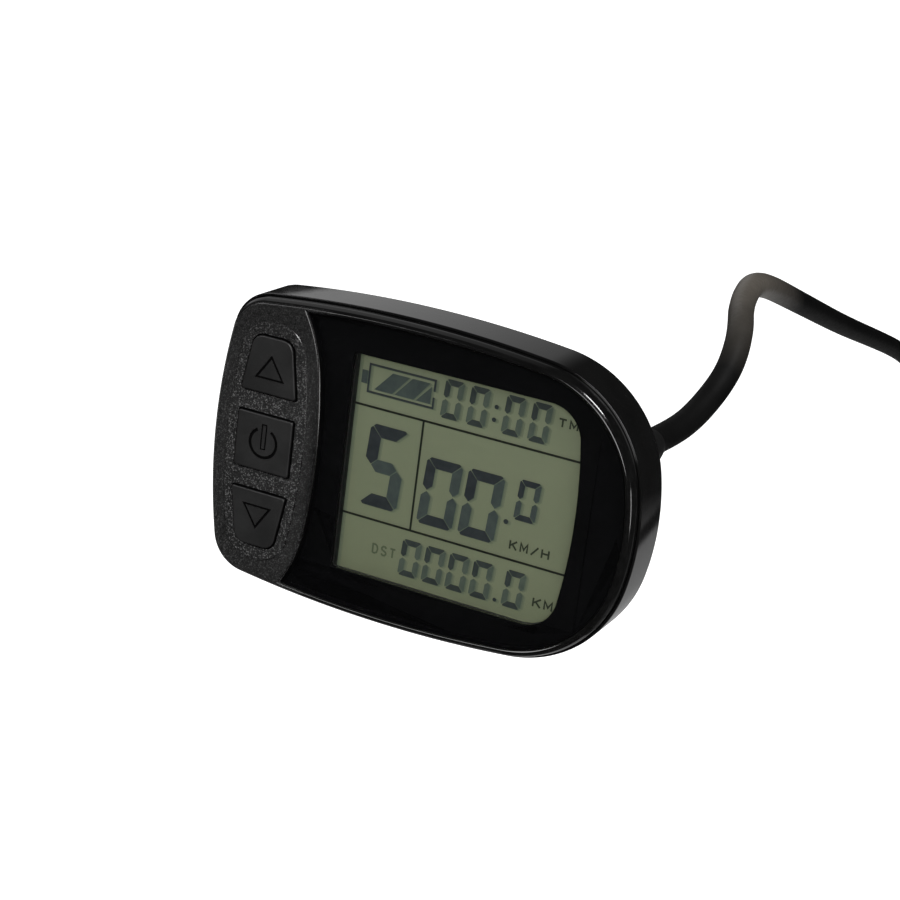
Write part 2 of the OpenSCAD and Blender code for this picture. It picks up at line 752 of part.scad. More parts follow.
module circuit_board() {
    color("#1f5a35") tilted() difference() {
        body_plate(cavity_in + pcb_play, pcb_back_z, pcb_z);
        for (p = case_screw_places()) post(p, column_r + pcb_play, pcb_back_z - cut, pcb_z + cut);
        for (p = pcb_screw_places()) post(p, pcb_screw_r + hole_play, pcb_back_z - cut, pcb_z + cut);
    }
}

module controller_chip() {
    color("#222222") tilted()
        translate([chip_x - chip_w / 2, body_h / 2 - parts_down - chip_w / 2, pcb_back_z - chip_t])
            cube([chip_w, chip_w, chip_t]);
}

// A regulator and two capacitors
module power_parts() {
    x = capacitor_in - body_w / 2;
    y = body_h / 2 - parts_down;
    color("#333333") tilted() {
        translate([regulator_x, y - regulator_h / 2, pcb_back_z - regulator_t])
            cube([regulator_w, regulator_h, regulator_t]);
        for (i = [0, 1])
            post([x + i * capacitor_pitch, y], capacitor_r, pcb_back_z - capacitor_h, pcb_back_z);
    }
}

module wire_header() {
    color("#ece6d4") tilted() difference() {
        translate([header_place[0] - header_h / 2, header_place[1] - header_w / 2,
            pcb_back_z - header_t]) cube([header_h, header_w, header_t]);
        header_room(0, cut);
    }
}
module header_room(play, over) {
    wall = header_wall + play;
    translate([header_place[0] - header_h / 2 + wall, header_place[1] - header_w / 2 + wall,
        pcb_back_z - header_t + wall])
        cube([header_h - wall + over, header_w - wall * 2, header_t - wall * 2]);
}
module wire_plug() {
    color("#f4f0e6") tilted() header_room(header_play, 0);
}

// Five wires from the end of the lead to the plug on the board
module inner_wires() {
    z = pcb_back_z - header_t / 2;
    side = header_place[0] + header_h / 2 + wire_play;
    for (i = [0:wire_count - 1]) {
        across = i - (wire_count - 1) / 2;
        y = gland_place[1] + across * (wire_d + wire_play);
        color(["red", "black", "blue", "green", "yellow"][i]) tilted()
            wire_run([[gland_place[0], y, floor_t + tail_in], [gland_place[0], y, z],
                [side, header_place[1] + across * wire_pitch, z]]);
    }
}
module wire_run(p) {
    for (i = [0, 1]) {
        way = p[i + 1] - p[i];
        translate(p[i]) rotate([0, acos(way[2] / norm(way)), turn_of(way)])
            cylinder(d = wire_d, h = norm(way), $fn = 24);
    }
    translate(p[1]) sphere(d = wire_d, $fn = 24);
}

module key_switches() {
    color("#2a2a2a") tilted() for (y = [-1, 0, 1]) difference() {
        translate([button_x - switch_w / 2, y * switch_y - switch_w / 2, pcb_z])
            cube([switch_w, switch_w, switch_h]);
        post([button_x, y * switch_y], stem_d / 2 + stem_play, pcb_z + switch_floor_t,
            pcb_z + switch_h + cut);
    }
}
module switch_domes() {
    color("#c9c9cc") tilted() for (y = [-1, 0, 1])
        post([button_x, y * switch_y], stem_d / 2, pcb_z + switch_floor_t,
            pcb_z + switch_floor_t + dome_t);
}
module key_stem(y) {
    color("#8a8a8a") tilted() post([button_x, y], stem_d / 2, stem_low_z, stem_z);
}
module stem_up_key() {
    key_stem(switch_y);
}
module stem_power_key() {
    key_stem(0);
}
module stem_down_key() {
    key_stem(-switch_y);
}

// Rubber sheet between the flanges of the three buttons
module keypad_web() {
    color("#26262a") tilted() difference() {
        plate(outline(FIELD, -web_edge), flange_z - flange_t, under_z);
        plate(power_outline(flange_w + web_play), flange_z - flange_t - cut, under_z + cut);
        for (m = [0, 1]) mirror([0, m, 0])
            plate(arrow_outline(flange_w + web_play), flange_z - flange_t - cut, under_z + cut);
        for (p = case_screw_places())
            post(p, boss_r + web_play, flange_z - flange_t - cut, under_z + cut);
    }
}

// A button: bevelled cap, flange under the panel and plunger down to its switch
module button_body(low_ring, high_ring, flange_ring, y) {
    stack([[low_ring, flange_z - flange_t / 2], [low_ring, cap_z - cap_bevel], [high_ring, cap_z]]);
    plate(flange_ring, flange_z - flange_t, flange_z);
    post([button_x, y], (stem_d + plunger_more) / 2, stem_z, flange_z - flange_t / 2);
}
module button_up() {
    color("#141517") tilted()
        button_body(arrow_outline(0), arrow_outline(-cap_bevel), arrow_outline(flange_w), switch_y);
}
module button_power() {
    color("#141517") tilted()
        button_body(power_outline(0), power_outline(-cap_bevel), power_outline(flange_w), 0);
}
module button_down() {
    color("#141517") tilted() mirror([0, 1, 0])
        button_body(arrow_outline(0), arrow_outline(-cap_bevel), arrow_outline(flange_w), switch_y);
}

// A pan-head screw that points into the head, with a cross slot in its head
module pan_screw(place, seat, r, len, head_r, head_t) {
    slot = head_r * head_slot_share;
    translate([place[0], place[1], seat]) difference() {
        union() {
            cylinder(r = r, h = len, $fn = 32);
            translate([0, 0, -head_t]) cylinder(r = head_r, h = head_t, $fn = 32);
        }
        for (a = [0, 90]) rotate([0, 0, a]) translate([-slot, -head_slot_w / 2, -head_t - cut])
            cube([slot * 2, head_slot_w, head_slot_t + cut]);
    }
}
module board_screws() {
    color("#b8b8bc") tilted() for (p = pcb_screw_places())
        pan_screw(p, pcb_back_z, pcb_screw_r, pcb_tip_z - pcb_back_z, pcb_head_r, pcb_head_t);
}
module case_screws() {
    color("#3c3c40") tilted() for (p = case_screw_places())
        pan_screw(p, case_head_seat, case_screw_r, case_tip_z - case_head_seat, case_head_r,
            case_head_t);
}
module saddle_screws() {
    tip = pcb_back_z - base_boss_gap - base_screw_cover;
    color("#3c3c40") tilted() for (p = base_screw_places())
        pan_screw(p, -base_t, base_screw_r, tip + base_t, base_head_r, base_head_t);
}

// Outline of one half of the clamp seen along the bar, with the bar's axis at the origin
module clamp_half(near, far) {
    difference() {
        union() {
            circle(r = clamp_out_r, $fn = 96);
            translate([near, -ear_y]) square([far - near, ear_y * 2]);
        }
        circle(r = clamp_bore_r, $fn = 96);
    }
}
// Rounds the tips of the ears, seen along the clamp screws
module ear_plan(low, high) {
    x = clamp_w / 2;
    plate(rounded([[-x, -ear_y], [x, -ear_y], [x, ear_y], [-x, ear_y]],
        [ear_corner_r, ear_corner_r, ear_corner_r, ear_corner_r]), low, high);
}
// Moves a shape drawn round the bar's axis into the flat head
module at_bar() {
    translate([0, -bar_below, -bar_back]) children();
}
module along_bar() {
    rotate([0, -90, 0]) translate([0, 0, -clamp_w / 2]) linear_extrude(clamp_w) children();
}

// Saddle: base plate on the rear case, half of the bore and two ears with nut pockets
module clamp_saddle() {
    color("#17181a") tilted() difference() {
        union() {
            at_bar() intersection() {
                along_bar() difference() {
                    union() {
                        intersection() {
                            clamp_half(0, saddle_ear_t);
                            translate([0, -ear_y]) square([bar_back, ear_y * 2]);
                        }
                        saddle_foot();
                    }
                    circle(r = clamp_bore_r, $fn = 96);
                }
                ear_plan(-cut, bar_back + cut);
            }
            plate(rounded([for (q = [[-1, -1], [1, -1], [1, 1], [-1, 1]])
                [q[0] * base_w / 2, q[1] * base_h / 2 - bar_below]],
                [base_corner_r, base_corner_r, base_corner_r, base_corner_r]), -base_t, 0);
        }
        at_bar() for (y = [-clamp_screw_y, clamp_screw_y]) {
            post([0, y], clamp_screw_r + hole_play, -cut, bar_back);
            nut_room(y, nut_floor_t, bar_back - base_t, nut_play);
        }
        for (p = base_screw_places()) post(p, base_screw_r + hole_play, -base_t - cut, cut);
    }
}
// The foot narrows from the barrel to the base plate
module saddle_foot() {
    y = base_h / 2 - foot_edge;
    polygon([[0, -clamp_out_r], [saddle_ear_t, -clamp_out_r], [bar_back - base_t / 2, -y],
        [bar_back - base_t / 2, y], [saddle_ear_t, clamp_out_r], [0, clamp_out_r]]);
}
module nut_room(y, low, high, play) {
    translate([0, y, low]) cylinder(r = (nut_flats / 2 + play) / cos(30), h = high - low, $fn = 6);
}

// Cap: the other half of the bore, with counterbored ears
module clamp_cap() {
    seat = -clamp_gap - clamp_seat_t;
    color("#17181a") tilted() at_bar() difference() {
        intersection() {
            along_bar() intersection() {
                clamp_half(-clamp_gap - cap_ear_t, -clamp_gap);
                translate([-clamp_out_r - cut, -ear_y])
                    square([clamp_out_r + cut - clamp_gap, ear_y * 2]);
            }
            ear_plan(-clamp_out_r - cut, cut);
        }
        for (y = [-clamp_screw_y, clamp_screw_y]) {
            post([0, y], clamp_screw_r + hole_play, -bar_back, cut);
            post([0, y], clamp_head_r + head_play, -bar_back * 2, seat);
        }
    }
}

// Rubber sleeve round the bar, slit on one side, with a lip at each end
module bar_sleeve() {
    half = clamp_w / 2 + sleeve_fit;
    long = half + sleeve_lip_t;
    r = clamp_bore_r - sleeve_fit;
    lip_r = clamp_bore_r + saddle_web - sleeve_lip_gap;
    color("#232326") tilted() at_bar() rotate([0, -90, 0]) difference() {
        rotate_extrude($fn = 96) polygon([[bar_r, -long], [lip_r, -long], [lip_r, -half],
            [r, -half], [r, half], [lip_r, half], [lip_r, long], [bar_r, long]]);
        translate([-sleeve_slit, 0, -long - cut])
            cube([sleeve_slit, bar_back, (long + cut) * 2]);
    }
}

module clamp_screws() {
    seat = -clamp_gap - clamp_seat_t;
    color("#7c7c80") tilted() at_bar() for (y = [-clamp_screw_y, clamp_screw_y]) difference() {
        union() {
            post([0, y], clamp_screw_r, seat, nut_floor_t + nut_t + clamp_tip);
            post([0, y], clamp_head_r, seat - clamp_head_t, seat);
        }
        translate([0, y, seat - clamp_head_t - cut])
            cylinder(r = hex_socket_r, h = hex_socket_t + cut, $fn = 6);
    }
}
module clamp_nuts() {
    high = nut_floor_t + nut_t;
    color("#8c8c90") tilted() at_bar() for (y = [-clamp_screw_y, clamp_screw_y]) difference() {
        nut_room(y, nut_floor_t, high, 0);
        post([0, y], clamp_screw_r + thread_play, nut_floor_t - cut, high + cut);
    }
}

// Gland: collar behind the case, with a neck and a flange that are flat towards the side wall
module cable_gland() {
    top = floor_t + gland_flange_t;
    color("#101112") tilted() difference() {
        union() {
            translate([gland_place[0], gland_place[1], 0]) rotate_extrude($fn = 64)
                polygon([[0, -gland_len], [gland_tip_r, -gland_len],
                    [gland_r, -gland_len + gland_tip_len], [gland_r, 0], [0, 0]]);
            gland_hole(gland_neck_r, 0, floor_t);
            gland_hole(gland_flange_r, floor_t, top);
        }
        post(gland_place, cable_d / 2 + bore_play, -gland_len - cut, top + cut);
    }
}
module cable_tail() {
    color("#17181a") tilted() post(gland_place, cable_d / 2, -gland_len, floor_t + tail_in);
}
function cable_start() = in_row([gland_place[0], gland_place[1], -gland_len]);
module cable() {
    start = cable_start();
    route = concat([start, start + back_way * cable_lead], cable_points);
    color("#17181a") tube(smooth_curve(route, cable_steps), cable_d, cable_sides, back_way,
        [0, 0, -1]);
}

// Plug that hangs at the end of the lead, drawn downwards from where the lead enters it
module at_plug() {
    translate(plug_top) mirror([0, 0, 1]) children();
}
module plug_body() {
    grip_z = relief_len;
    collar_z = grip_z + grip_len;
    nose_z = collar_z + collar_len;
    chamfer = rib_h;
    color("#121314") at_plug() difference() {
        union() {
            rotate_extrude($fn = 64) polygon([[0, 0], [cable_d / 2 + nose_wall, 0],
                [grip_d / 2 - chamfer, grip_z], [grip_d / 2, grip_z + chamfer],
                [grip_d / 2, collar_z - chamfer], [grip_d / 2 - chamfer, collar_z],
                [collar_d / 2, collar_z], [collar_d / 2, nose_z], [nose_d / 2, nose_z],
                [nose_d / 2, nose_z + nose_len], [0, nose_z + nose_len]]);
            for (i = [0:rib_count - 1])
                translate([0, 0, grip_z + grip_len / 2 - rib_pitch * ((rib_count - 1) / 2 - i)])
                    translate([0, 0, -rib_w / 2]) cylinder(r = grip_d / 2 + rib_h, h = rib_w, $fn = 64);
        }
        translate([0, 0, nose_z - insert_len])
            cylinder(r = nose_d / 2 - nose_wall, h = nose_len + insert_len + cut, $fn = 64);
        translate([0, 0, nose_z + seal_ring_r]) rotate_extrude($fn = 64)
            translate([nose_d / 2, 0]) circle(r = seal_ring_r, $fn = 24);
    }
}
module plug_insert() {
    z = relief_len + grip_len + collar_len;
    color("#2c2c2e") at_plug() difference() {
        translate([0, 0, z - insert_len])
            cylinder(r = nose_d / 2 - nose_wall, h = insert_len, $fn = 64);
        for (i = [0:pin_count - 1]) rotate([0, 0, 360 * i / pin_count])
            post([pin_ring_r, 0], pin_d / 2, z - insert_len / 2, z + cut);
    }
}
module plug_pins_set() {
    z = relief_len + grip_len + collar_len;
    color("#d8b45a") at_plug() for (i = [0:pin_count - 1]) rotate([0, 0, 360 * i / pin_count])
        post([pin_ring_r, 0], pin_d / 2, z - insert_len / 2, z + pin_len);
}
module plug_seal() {
    z = relief_len + grip_len + collar_len;
    color("#3a3a3c") at_plug() translate([0, 0, z + seal_ring_r]) rotate_extrude($fn = 64)
        translate([nose_d / 2, 0]) circle(r = seal_ring_r, $fn = 24);
}

front_case();
rear_case();
case_seal();
window_lens();
lens_mask();
lcd_gasket();
lcd_glass();
lcd_rear_glass();
backlight();
lcd_tray();
contact_strips();
circuit_board();
controller_chip();
power_parts();
wire_header();
wire_plug();
inner_wires();
key_switches();
switch_domes();
keypad_web();
button_up();
button_power();
button_down();
stem_up_key();
stem_power_key();
stem_down_key();
board_screws();
case_screws();
clamp_saddle();
clamp_cap();
bar_sleeve();
clamp_screws();
clamp_nuts();
saddle_screws();
cable_gland();
cable_tail();
cable();
plug_body();
plug_insert();
plug_pins_set();
plug_seal();
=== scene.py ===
# Looks of the handlebar display: finer meshes, materials, light and the photograph's camera.
# Pieces of the head are drawn flat in millimetres, as in part.scad, with Z out of the window and
# the rear face at zero, and are then tilted into the row frame.

import math

import bmesh
import bpy
from mathutils import Matrix, Vector


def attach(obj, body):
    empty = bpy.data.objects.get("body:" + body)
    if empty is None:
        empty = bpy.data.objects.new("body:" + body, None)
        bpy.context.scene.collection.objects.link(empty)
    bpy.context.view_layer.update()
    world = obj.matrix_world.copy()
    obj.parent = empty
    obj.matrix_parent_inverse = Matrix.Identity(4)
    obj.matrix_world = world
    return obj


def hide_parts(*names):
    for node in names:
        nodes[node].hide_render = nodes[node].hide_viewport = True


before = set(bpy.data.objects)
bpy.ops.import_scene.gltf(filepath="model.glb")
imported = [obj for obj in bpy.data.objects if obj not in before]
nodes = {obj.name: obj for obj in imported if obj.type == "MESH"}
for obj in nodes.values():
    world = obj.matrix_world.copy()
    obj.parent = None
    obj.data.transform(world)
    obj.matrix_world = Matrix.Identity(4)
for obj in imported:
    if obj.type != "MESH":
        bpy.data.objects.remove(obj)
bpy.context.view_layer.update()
scene = bpy.context.scene

MM = 0.001


# Camera of the photograph

CAMERA_PLACE = Vector((162.617, -331.316, 232.409)) * MM
CAMERA_RIGHT = Vector((0.88953, 0.45683, 0.00562))
CAMERA_FORWARD = Vector((-0.38684, 0.75968, -0.52273))
CAMERA_FOCAL = 84.0
CAMERA_SENSOR = 36.0
CAMERA_NEAR = 0.01
CAMERA_FAR = 50


def add_camera():
    data = bpy.data.cameras.new("camera")
    data.lens = CAMERA_FOCAL
    data.sensor_width = CAMERA_SENSOR
    data.clip_start = CAMERA_NEAR
    data.clip_end = CAMERA_FAR
    camera = bpy.data.objects.new("camera", data)
    back = -CAMERA_FORWARD.normalized()
    right = CAMERA_RIGHT.normalized()
    up = back.cross(right).normalized()
    right = up.cross(back)
    turn = Matrix((right, up, back)).transposed().to_4x4()
    camera.matrix_world = Matrix.Translation(CAMERA_PLACE) @ turn
    scene.collection.objects.link(camera)
    scene.camera = camera


# The flat head's place in the row frame, in millimetres from the axis of the bar

TILT = math.radians(15)
BAR_BELOW = 6.0
BAR_BACK = 16.0
HEAD_Y = math.sin(TILT) * BAR_BELOW - math.cos(TILT) * BAR_BACK
HEAD_Z = math.cos(TILT) * BAR_BELOW + math.sin(TILT) * BAR_BACK
HEAD_TURN = Matrix.Rotation(math.pi / 2 - TILT, 4, "X")
HEAD = Matrix.Scale(MM, 4) @ Matrix.Translation((0, HEAD_Y, HEAD_Z)) @ HEAD_TURN

# Sizes shared with part.scad, in millimetres

BODY_W = 93.0
BODY_H = 63.6
CROWN_X = -4.5
EDGE_BULGE = 5.15
RIGHT_BULGE = 11.1
LEFT_BULGE = 4.3
RIGHT_CORNER_R = 25
LEFT_CORNER_R = 9
LENS_Z = 14.5
MASK_TOP = 13.0
MASK_LOW = 12.8
LEDGE_Z = 11.7
LCD_Z = 11.1
SEAM_Z = 12.1
SHELF_Z = 10.6
FLANGE_SEAT_Z = 11.4
RIM_Z = 14.9
FIELD_Z = 15.15
CAP_Z = 15.7
UNDER_Z = 12.7
FLOOR_T = 2.2
WALL_T = 1.8
CAVITY_IN = 3.0
LIP_W = 0.45
RIM_W = 2.4
REAR_ROUND = 1.8
PANEL_X = -21.5
PANEL_R = 120.0
PANEL_END_R = 30.0
PANEL_BEND_Y = 17.0
WINDOW_LEFT = -16.55
WINDOW_RIGHT = 33.65
WINDOW_HALF = 22.5
WINDOW_END_R = 114
WINDOW_RIGHT_CORNER_R = 7
WINDOW_LEFT_CORNER_R = 0.3
FIELD_W = 17.6
FIELD_HALF = 24.8
FIELD_END_BULGE = 1.7
FIELD_SIDE_BULGE = 2.8
FIELD_CORNER_R = FIELD_W * 0.37
BUTTON_X = -33.3
BUTTON_W = 12.7
POWER_H = 11.8
ARROW_Y = 10.25
ARROW_H = 11.7
ARROW_END_W = 8.8
ARROW_R = 2.6
SQUARE_R = 0.5
FLANGE_LOW = 11.7
FLANGE_HIGH = 12.6
STEM_Z = 10.2
CABLE_D = 5.5
GLAND_LEN = 6.0


# Arcs and outlines


def polar(r, turn):
    return Vector((r * math.cos(turn), r * math.sin(turn)))


def turn_of(v):
    return math.atan2(v.y, v.x) % math.tau


def radius_of(half, rise):
    return (half * half + rise * rise) / (2 * rise)


def arc(centre, r, a1, a2, steps):
    return [centre + polar(r, a1 + (a2 - a1) * i / steps) for i in range(steps)]


def crossing(c1, r1, c2, r2, way):
    # Of the two points where two circles cross, the one further up and to the side called way
    d = (c2 - c1).length
    a = (r1 * r1 - r2 * r2 + d * d) / (2 * d)
    u = (c2 - c1) / d
    side = math.sqrt(r1 * r1 - a * a) * Vector((-u.y, u.x))
    p, q = c1 + a * u + side, c1 + a * u - side
    return p if (p - q).dot(Vector((way, 1))) > 0 else q


class Outline:
    # A closed outline of tangent arcs, which can be moved in by any inset

    def __init__(self, left, right, half, crown, edge_r, left_r, right_r, left_corner, right_corner, steps):
        self.radii = (right_r, right_corner, edge_r, left_corner, left_r)
        self.left = left
        self.steps = steps
        top = Vector((crown, half - edge_r))
        right_mid = Vector((right - right_r, 0))
        left_mid = Vector((left + left_r, 0))
        self.right_corner = crossing(top, edge_r - right_corner, right_mid, right_r - right_corner, 1)
        self.left_corner = crossing(top, edge_r - left_corner, left_mid, left_r - left_corner, -1)
        self.centres = (right_mid, self.right_corner, top, self.left_corner, left_mid)
        self.turns = (
            0,
            turn_of(self.right_corner - right_mid),
            turn_of(self.right_corner - top),
            turn_of(self.left_corner - top),
            turn_of(self.left_corner - left_mid),
            math.pi,
        )

    def half(self, inset, first=0, last=5):
        points = []
        for i in range(first, last):
            r = self.radii[i] - inset
            points += arc(self.centres[i], r, self.turns[i], self.turns[i + 1], self.steps[i])
        return points

    def closed(self, inset):
        return mirrored(self.half(inset) + [Vector((self.left + inset, 0))])


def mirrored(half):
    return half + [Vector((p.x, -p.y)) for p in reversed(half[1:-1])]


END_R = radius_of(BODY_H / 2, RIGHT_BULGE)
NEARLY_STRAIGHT = 4000
LONG_STEPS = 48
BEND_STEPS = 20
BODY = Outline(
    left=-BODY_W / 2,
    right=BODY_W / 2,
    half=BODY_H / 2,
    crown=CROWN_X,
    edge_r=radius_of(BODY_W / 2 - CROWN_X, EDGE_BULGE),
    left_r=radius_of(BODY_H / 2, LEFT_BULGE),
    right_r=END_R,
    left_corner=LEFT_CORNER_R,
    right_corner=RIGHT_CORNER_R,
    steps=(24, 40, 60, 24, 24),
)
WINDOW = Outline(
    left=WINDOW_LEFT,
    right=WINDOW_RIGHT,
    half=WINDOW_HALF,
    crown=(WINDOW_LEFT + WINDOW_RIGHT) / 2,
    edge_r=NEARLY_STRAIGHT,
    left_r=NEARLY_STRAIGHT,
    right_r=WINDOW_END_R,
    left_corner=WINDOW_LEFT_CORNER_R,
    right_corner=WINDOW_RIGHT_CORNER_R,
    steps=(16, 12, 12, 4, 12),
)
FIELD = Outline(
    left=BUTTON_X - FIELD_W / 2,
    right=BUTTON_X + FIELD_W / 2,
    half=FIELD_HALF,
    crown=BUTTON_X,
    edge_r=radius_of(FIELD_W / 2, FIELD_END_BULGE),
    left_r=radius_of(FIELD_HALF, FIELD_SIDE_BULGE),
    right_r=radius_of(FIELD_HALF, FIELD_SIDE_BULGE),
    left_corner=FIELD_CORNER_R,
    right_corner=FIELD_CORNER_R,
    steps=(16, 14, 12, 14, 16),
)


def lens_outline(grow):
    # The window's recess: the bezel's inner line, cut off by the panel's edge
    top, edge_r = BODY.centres[2], BODY.radii[2] - RIM_W + grow
    turn = math.asin(PANEL_BEND_Y / PANEL_R)
    middle = Vector((PANEL_X - PANEL_R, 0))
    joint = middle + polar(PANEL_R, turn)
    end = joint - polar(PANEL_END_R, turn)
    corner = crossing(top, edge_r, end, PANEL_END_R - grow, 1)
    half = BODY.half(RIM_W - grow, 0, 2)
    half += arc(top, edge_r, BODY.turns[2], turn_of(corner - top), LONG_STEPS)
    half += arc(end, PANEL_END_R - grow, turn_of(corner - end), turn, BEND_STEPS)
    half += arc(middle, PANEL_R - grow, turn, 0, BEND_STEPS)
    return mirrored(half + [middle + Vector((PANEL_R - grow, 0))])


def rounded(points, radii, steps=8):
    # A closed line of points with each corner rounded by its own radius
    out = []
    for i, p in enumerate(points):
        a = (points[i - 1] - p).normalized()
        b = (points[(i + 1) % len(points)] - p).normalized()
        half = math.acos(max(-1, min(1, a.dot(b)))) / 2
        centre = p + (a + b).normalized() * radii[i] / math.sin(half)
        a1 = turn_of(p + a * radii[i] / math.tan(half) - centre)
        a2 = turn_of(p + b * radii[i] / math.tan(half) - centre)
        sweep = (a2 - a1 + math.pi) % math.tau - math.pi
        out += [centre + polar(radii[i], a1 + sweep * k / steps) for k in range(steps + 1)]
    return out


def arrow_outline(grow, way):
    # The upper button for way 1, its mirror image for way -1
    lean = (BUTTON_W - ARROW_END_W) / 2 / ARROW_H
    low = BUTTON_W / 2 + grow + lean * grow
    high = ARROW_END_W / 2 + grow - lean * grow
    y1, y2 = ARROW_Y - grow, ARROW_Y + ARROW_H + grow
    corners = [(-low, y1), (low, y1), (high, y2), (-high, y2)]
    radii = [SQUARE_R + max(grow, 0)] * 2 + [ARROW_R + grow] * 2
    points = rounded([Vector((BUTTON_X + x, y)) for x, y in corners], radii)
    if way > 0:
        return points
    return [Vector((p.x, -p.y)) for p in reversed(points)]


def power_outline(grow):
    x, y = BUTTON_W / 2 + grow, POWER_H / 2 + grow
    corners = [(-x, -y), (x, -y), (x, y), (-x, y)]
    return rounded([Vector((BUTTON_X + a, b)) for a, b in corners], [SQUARE_R + max(grow, 0)] * 4)


# Meshes


def mesh_object(name, points, faces):
    mesh = bpy.data.meshes.new(name)
    mesh.from_pydata([tuple(p) for p in points], [], faces)
    mesh.validate()
    piece = bpy.data.objects.new(name, mesh)
    scene.collection.objects.link(piece)
    return piece


def loft(name, rings):
    # A closed solid through rings, each a list of flat points and a level
    count = len(rings[0][0])
    points = [(p.x, p.y, z) for ring, z in rings for p in ring]
    faces = [tuple(reversed(range(count)))]
    faces.append(tuple(range((len(rings) - 1) * count, len(rings) * count)))
    for i in range(len(rings) - 1):
        for k in range(count):
            a, b = i * count + k, i * count + (k + 1) % count
            faces.append((a, b, b + count, a + count))
    return mesh_object(name, points, faces)


def prism(name, ring, low, high):
    return loft(name, [(ring, low), (ring, high)])


def stepped(name, ring_at, edge):
    # A solid with one outline, moved and raised by each pair of numbers in edge
    return loft(name, [(ring_at(move), z) for move, z in edge])


def quarter_turns(steps):
    return [math.pi / 2 * k / steps for k in range(steps + 1)]


def frame_prism(name, outer, inner, low, high):
    # A flat ring of any shape: outer and inner have the same number of points
    count = len(outer)
    points = [(p.x, p.y, z) for ring in (outer, inner) for z in (low, high) for p in ring]
    o1, o2, i1, i2 = 0, count, 2 * count, 3 * count
    faces = []
    for k in range(count):
        n = (k + 1) % count
        faces += [
            (o1 + k, o1 + n, o2 + n, o2 + k),
            (i1 + n, i1 + k, i2 + k, i2 + n),
            (o2 + k, o2 + n, i2 + n, i2 + k),
            (o1 + n, o1 + k, i1 + k, i1 + n),
        ]
    return mesh_object(name, points, faces)


def circle(x, y, r, steps=48):
    return [Vector((x, y)) + polar(r, math.tau * k / steps) for k in range(steps)]


def joined(name, parts):
    # One piece from several, which go away
    mesh = bmesh.new()
    for part in parts:
        mesh.from_mesh(part.data)
        bpy.data.objects.remove(part)
    piece = mesh_object(name, [], [])
    mesh.to_mesh(piece.data)
    mesh.free()
    return piece


def combine(piece, tool, operation="DIFFERENCE"):
    # Cuts the tool out of the piece, or adds it, for good
    change = piece.modifiers.new("combine", "BOOLEAN")
    change.object = tool
    change.operation = operation
    change.solver = "EXACT"
    bpy.context.view_layer.update()
    graph = bpy.context.evaluated_depsgraph_get()
    mesh = bpy.data.meshes.new_from_object(piece.evaluated_get(graph))
    piece.modifiers.clear()
    piece.data = mesh
    bpy.data.objects.remove(tool)


CORNER_ANGLE = 32
FLAT_WEIGHT = 60
WELD = 2e-6
FLAT_ANGLE = math.radians(0.6)


def smooth(piece, angle=CORNER_ANGLE):
    # Rounded faces shade softly and large flat ones stay flat
    mesh = piece.data
    mesh.shade_smooth()
    mesh.set_sharp_from_angle(angle=math.radians(angle))
    even = piece.modifiers.new("even_shading", "WEIGHTED_NORMAL")
    even.keep_sharp = True
    even.weight = FLAT_WEIGHT


def finish_piece(piece, material, body="display", node=None, flat=True, angle=CORNER_ANGLE):
    # Tilts a flat piece into the row frame, shades it smoothly, gives it its material, fixes it to its body
    # and hides its node
    if flat:
        piece.data.transform(HEAD)
    smooth(piece, angle)
    piece.data.materials.clear()
    piece.data.materials.append(material)
    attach(piece, body)
    if node:
        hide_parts(node)


def round_edges(piece, width, limit, segments):
    bevel = piece.modifiers.new("rounded_edges", "BEVEL")
    bevel.width = width
    bevel.segments = segments
    bevel.limit_method = "ANGLE"
    bevel.angle_limit = math.radians(limit)
    bevel.harden_normals = True


def from_cad(node, material, width, limit=CORNER_ANGLE, segments=2):
    # A copy of a CAD node of the display's body, with its edges rounded by width millimetres
    mesh = bmesh.new()
    mesh.from_mesh(nodes[node].data)
    bmesh.ops.remove_doubles(mesh, verts=mesh.verts, dist=WELD)
    bmesh.ops.dissolve_limit(mesh, angle_limit=FLAT_ANGLE, verts=mesh.verts, edges=mesh.edges)
    points = [v.co.copy() for v in mesh.verts]
    mesh.verts.index_update()
    faces = [tuple(v.index for v in f.verts) for f in mesh.faces]
    mesh.free()
    piece = mesh_object(node + "_finish", points, faces)
    finish_piece(piece, material, node=node, flat=False)
    piece.modifiers.clear()
    piece.data.shade_smooth()
    round_edges(piece, width * MM, limit, segments)
    return piece


# Materials


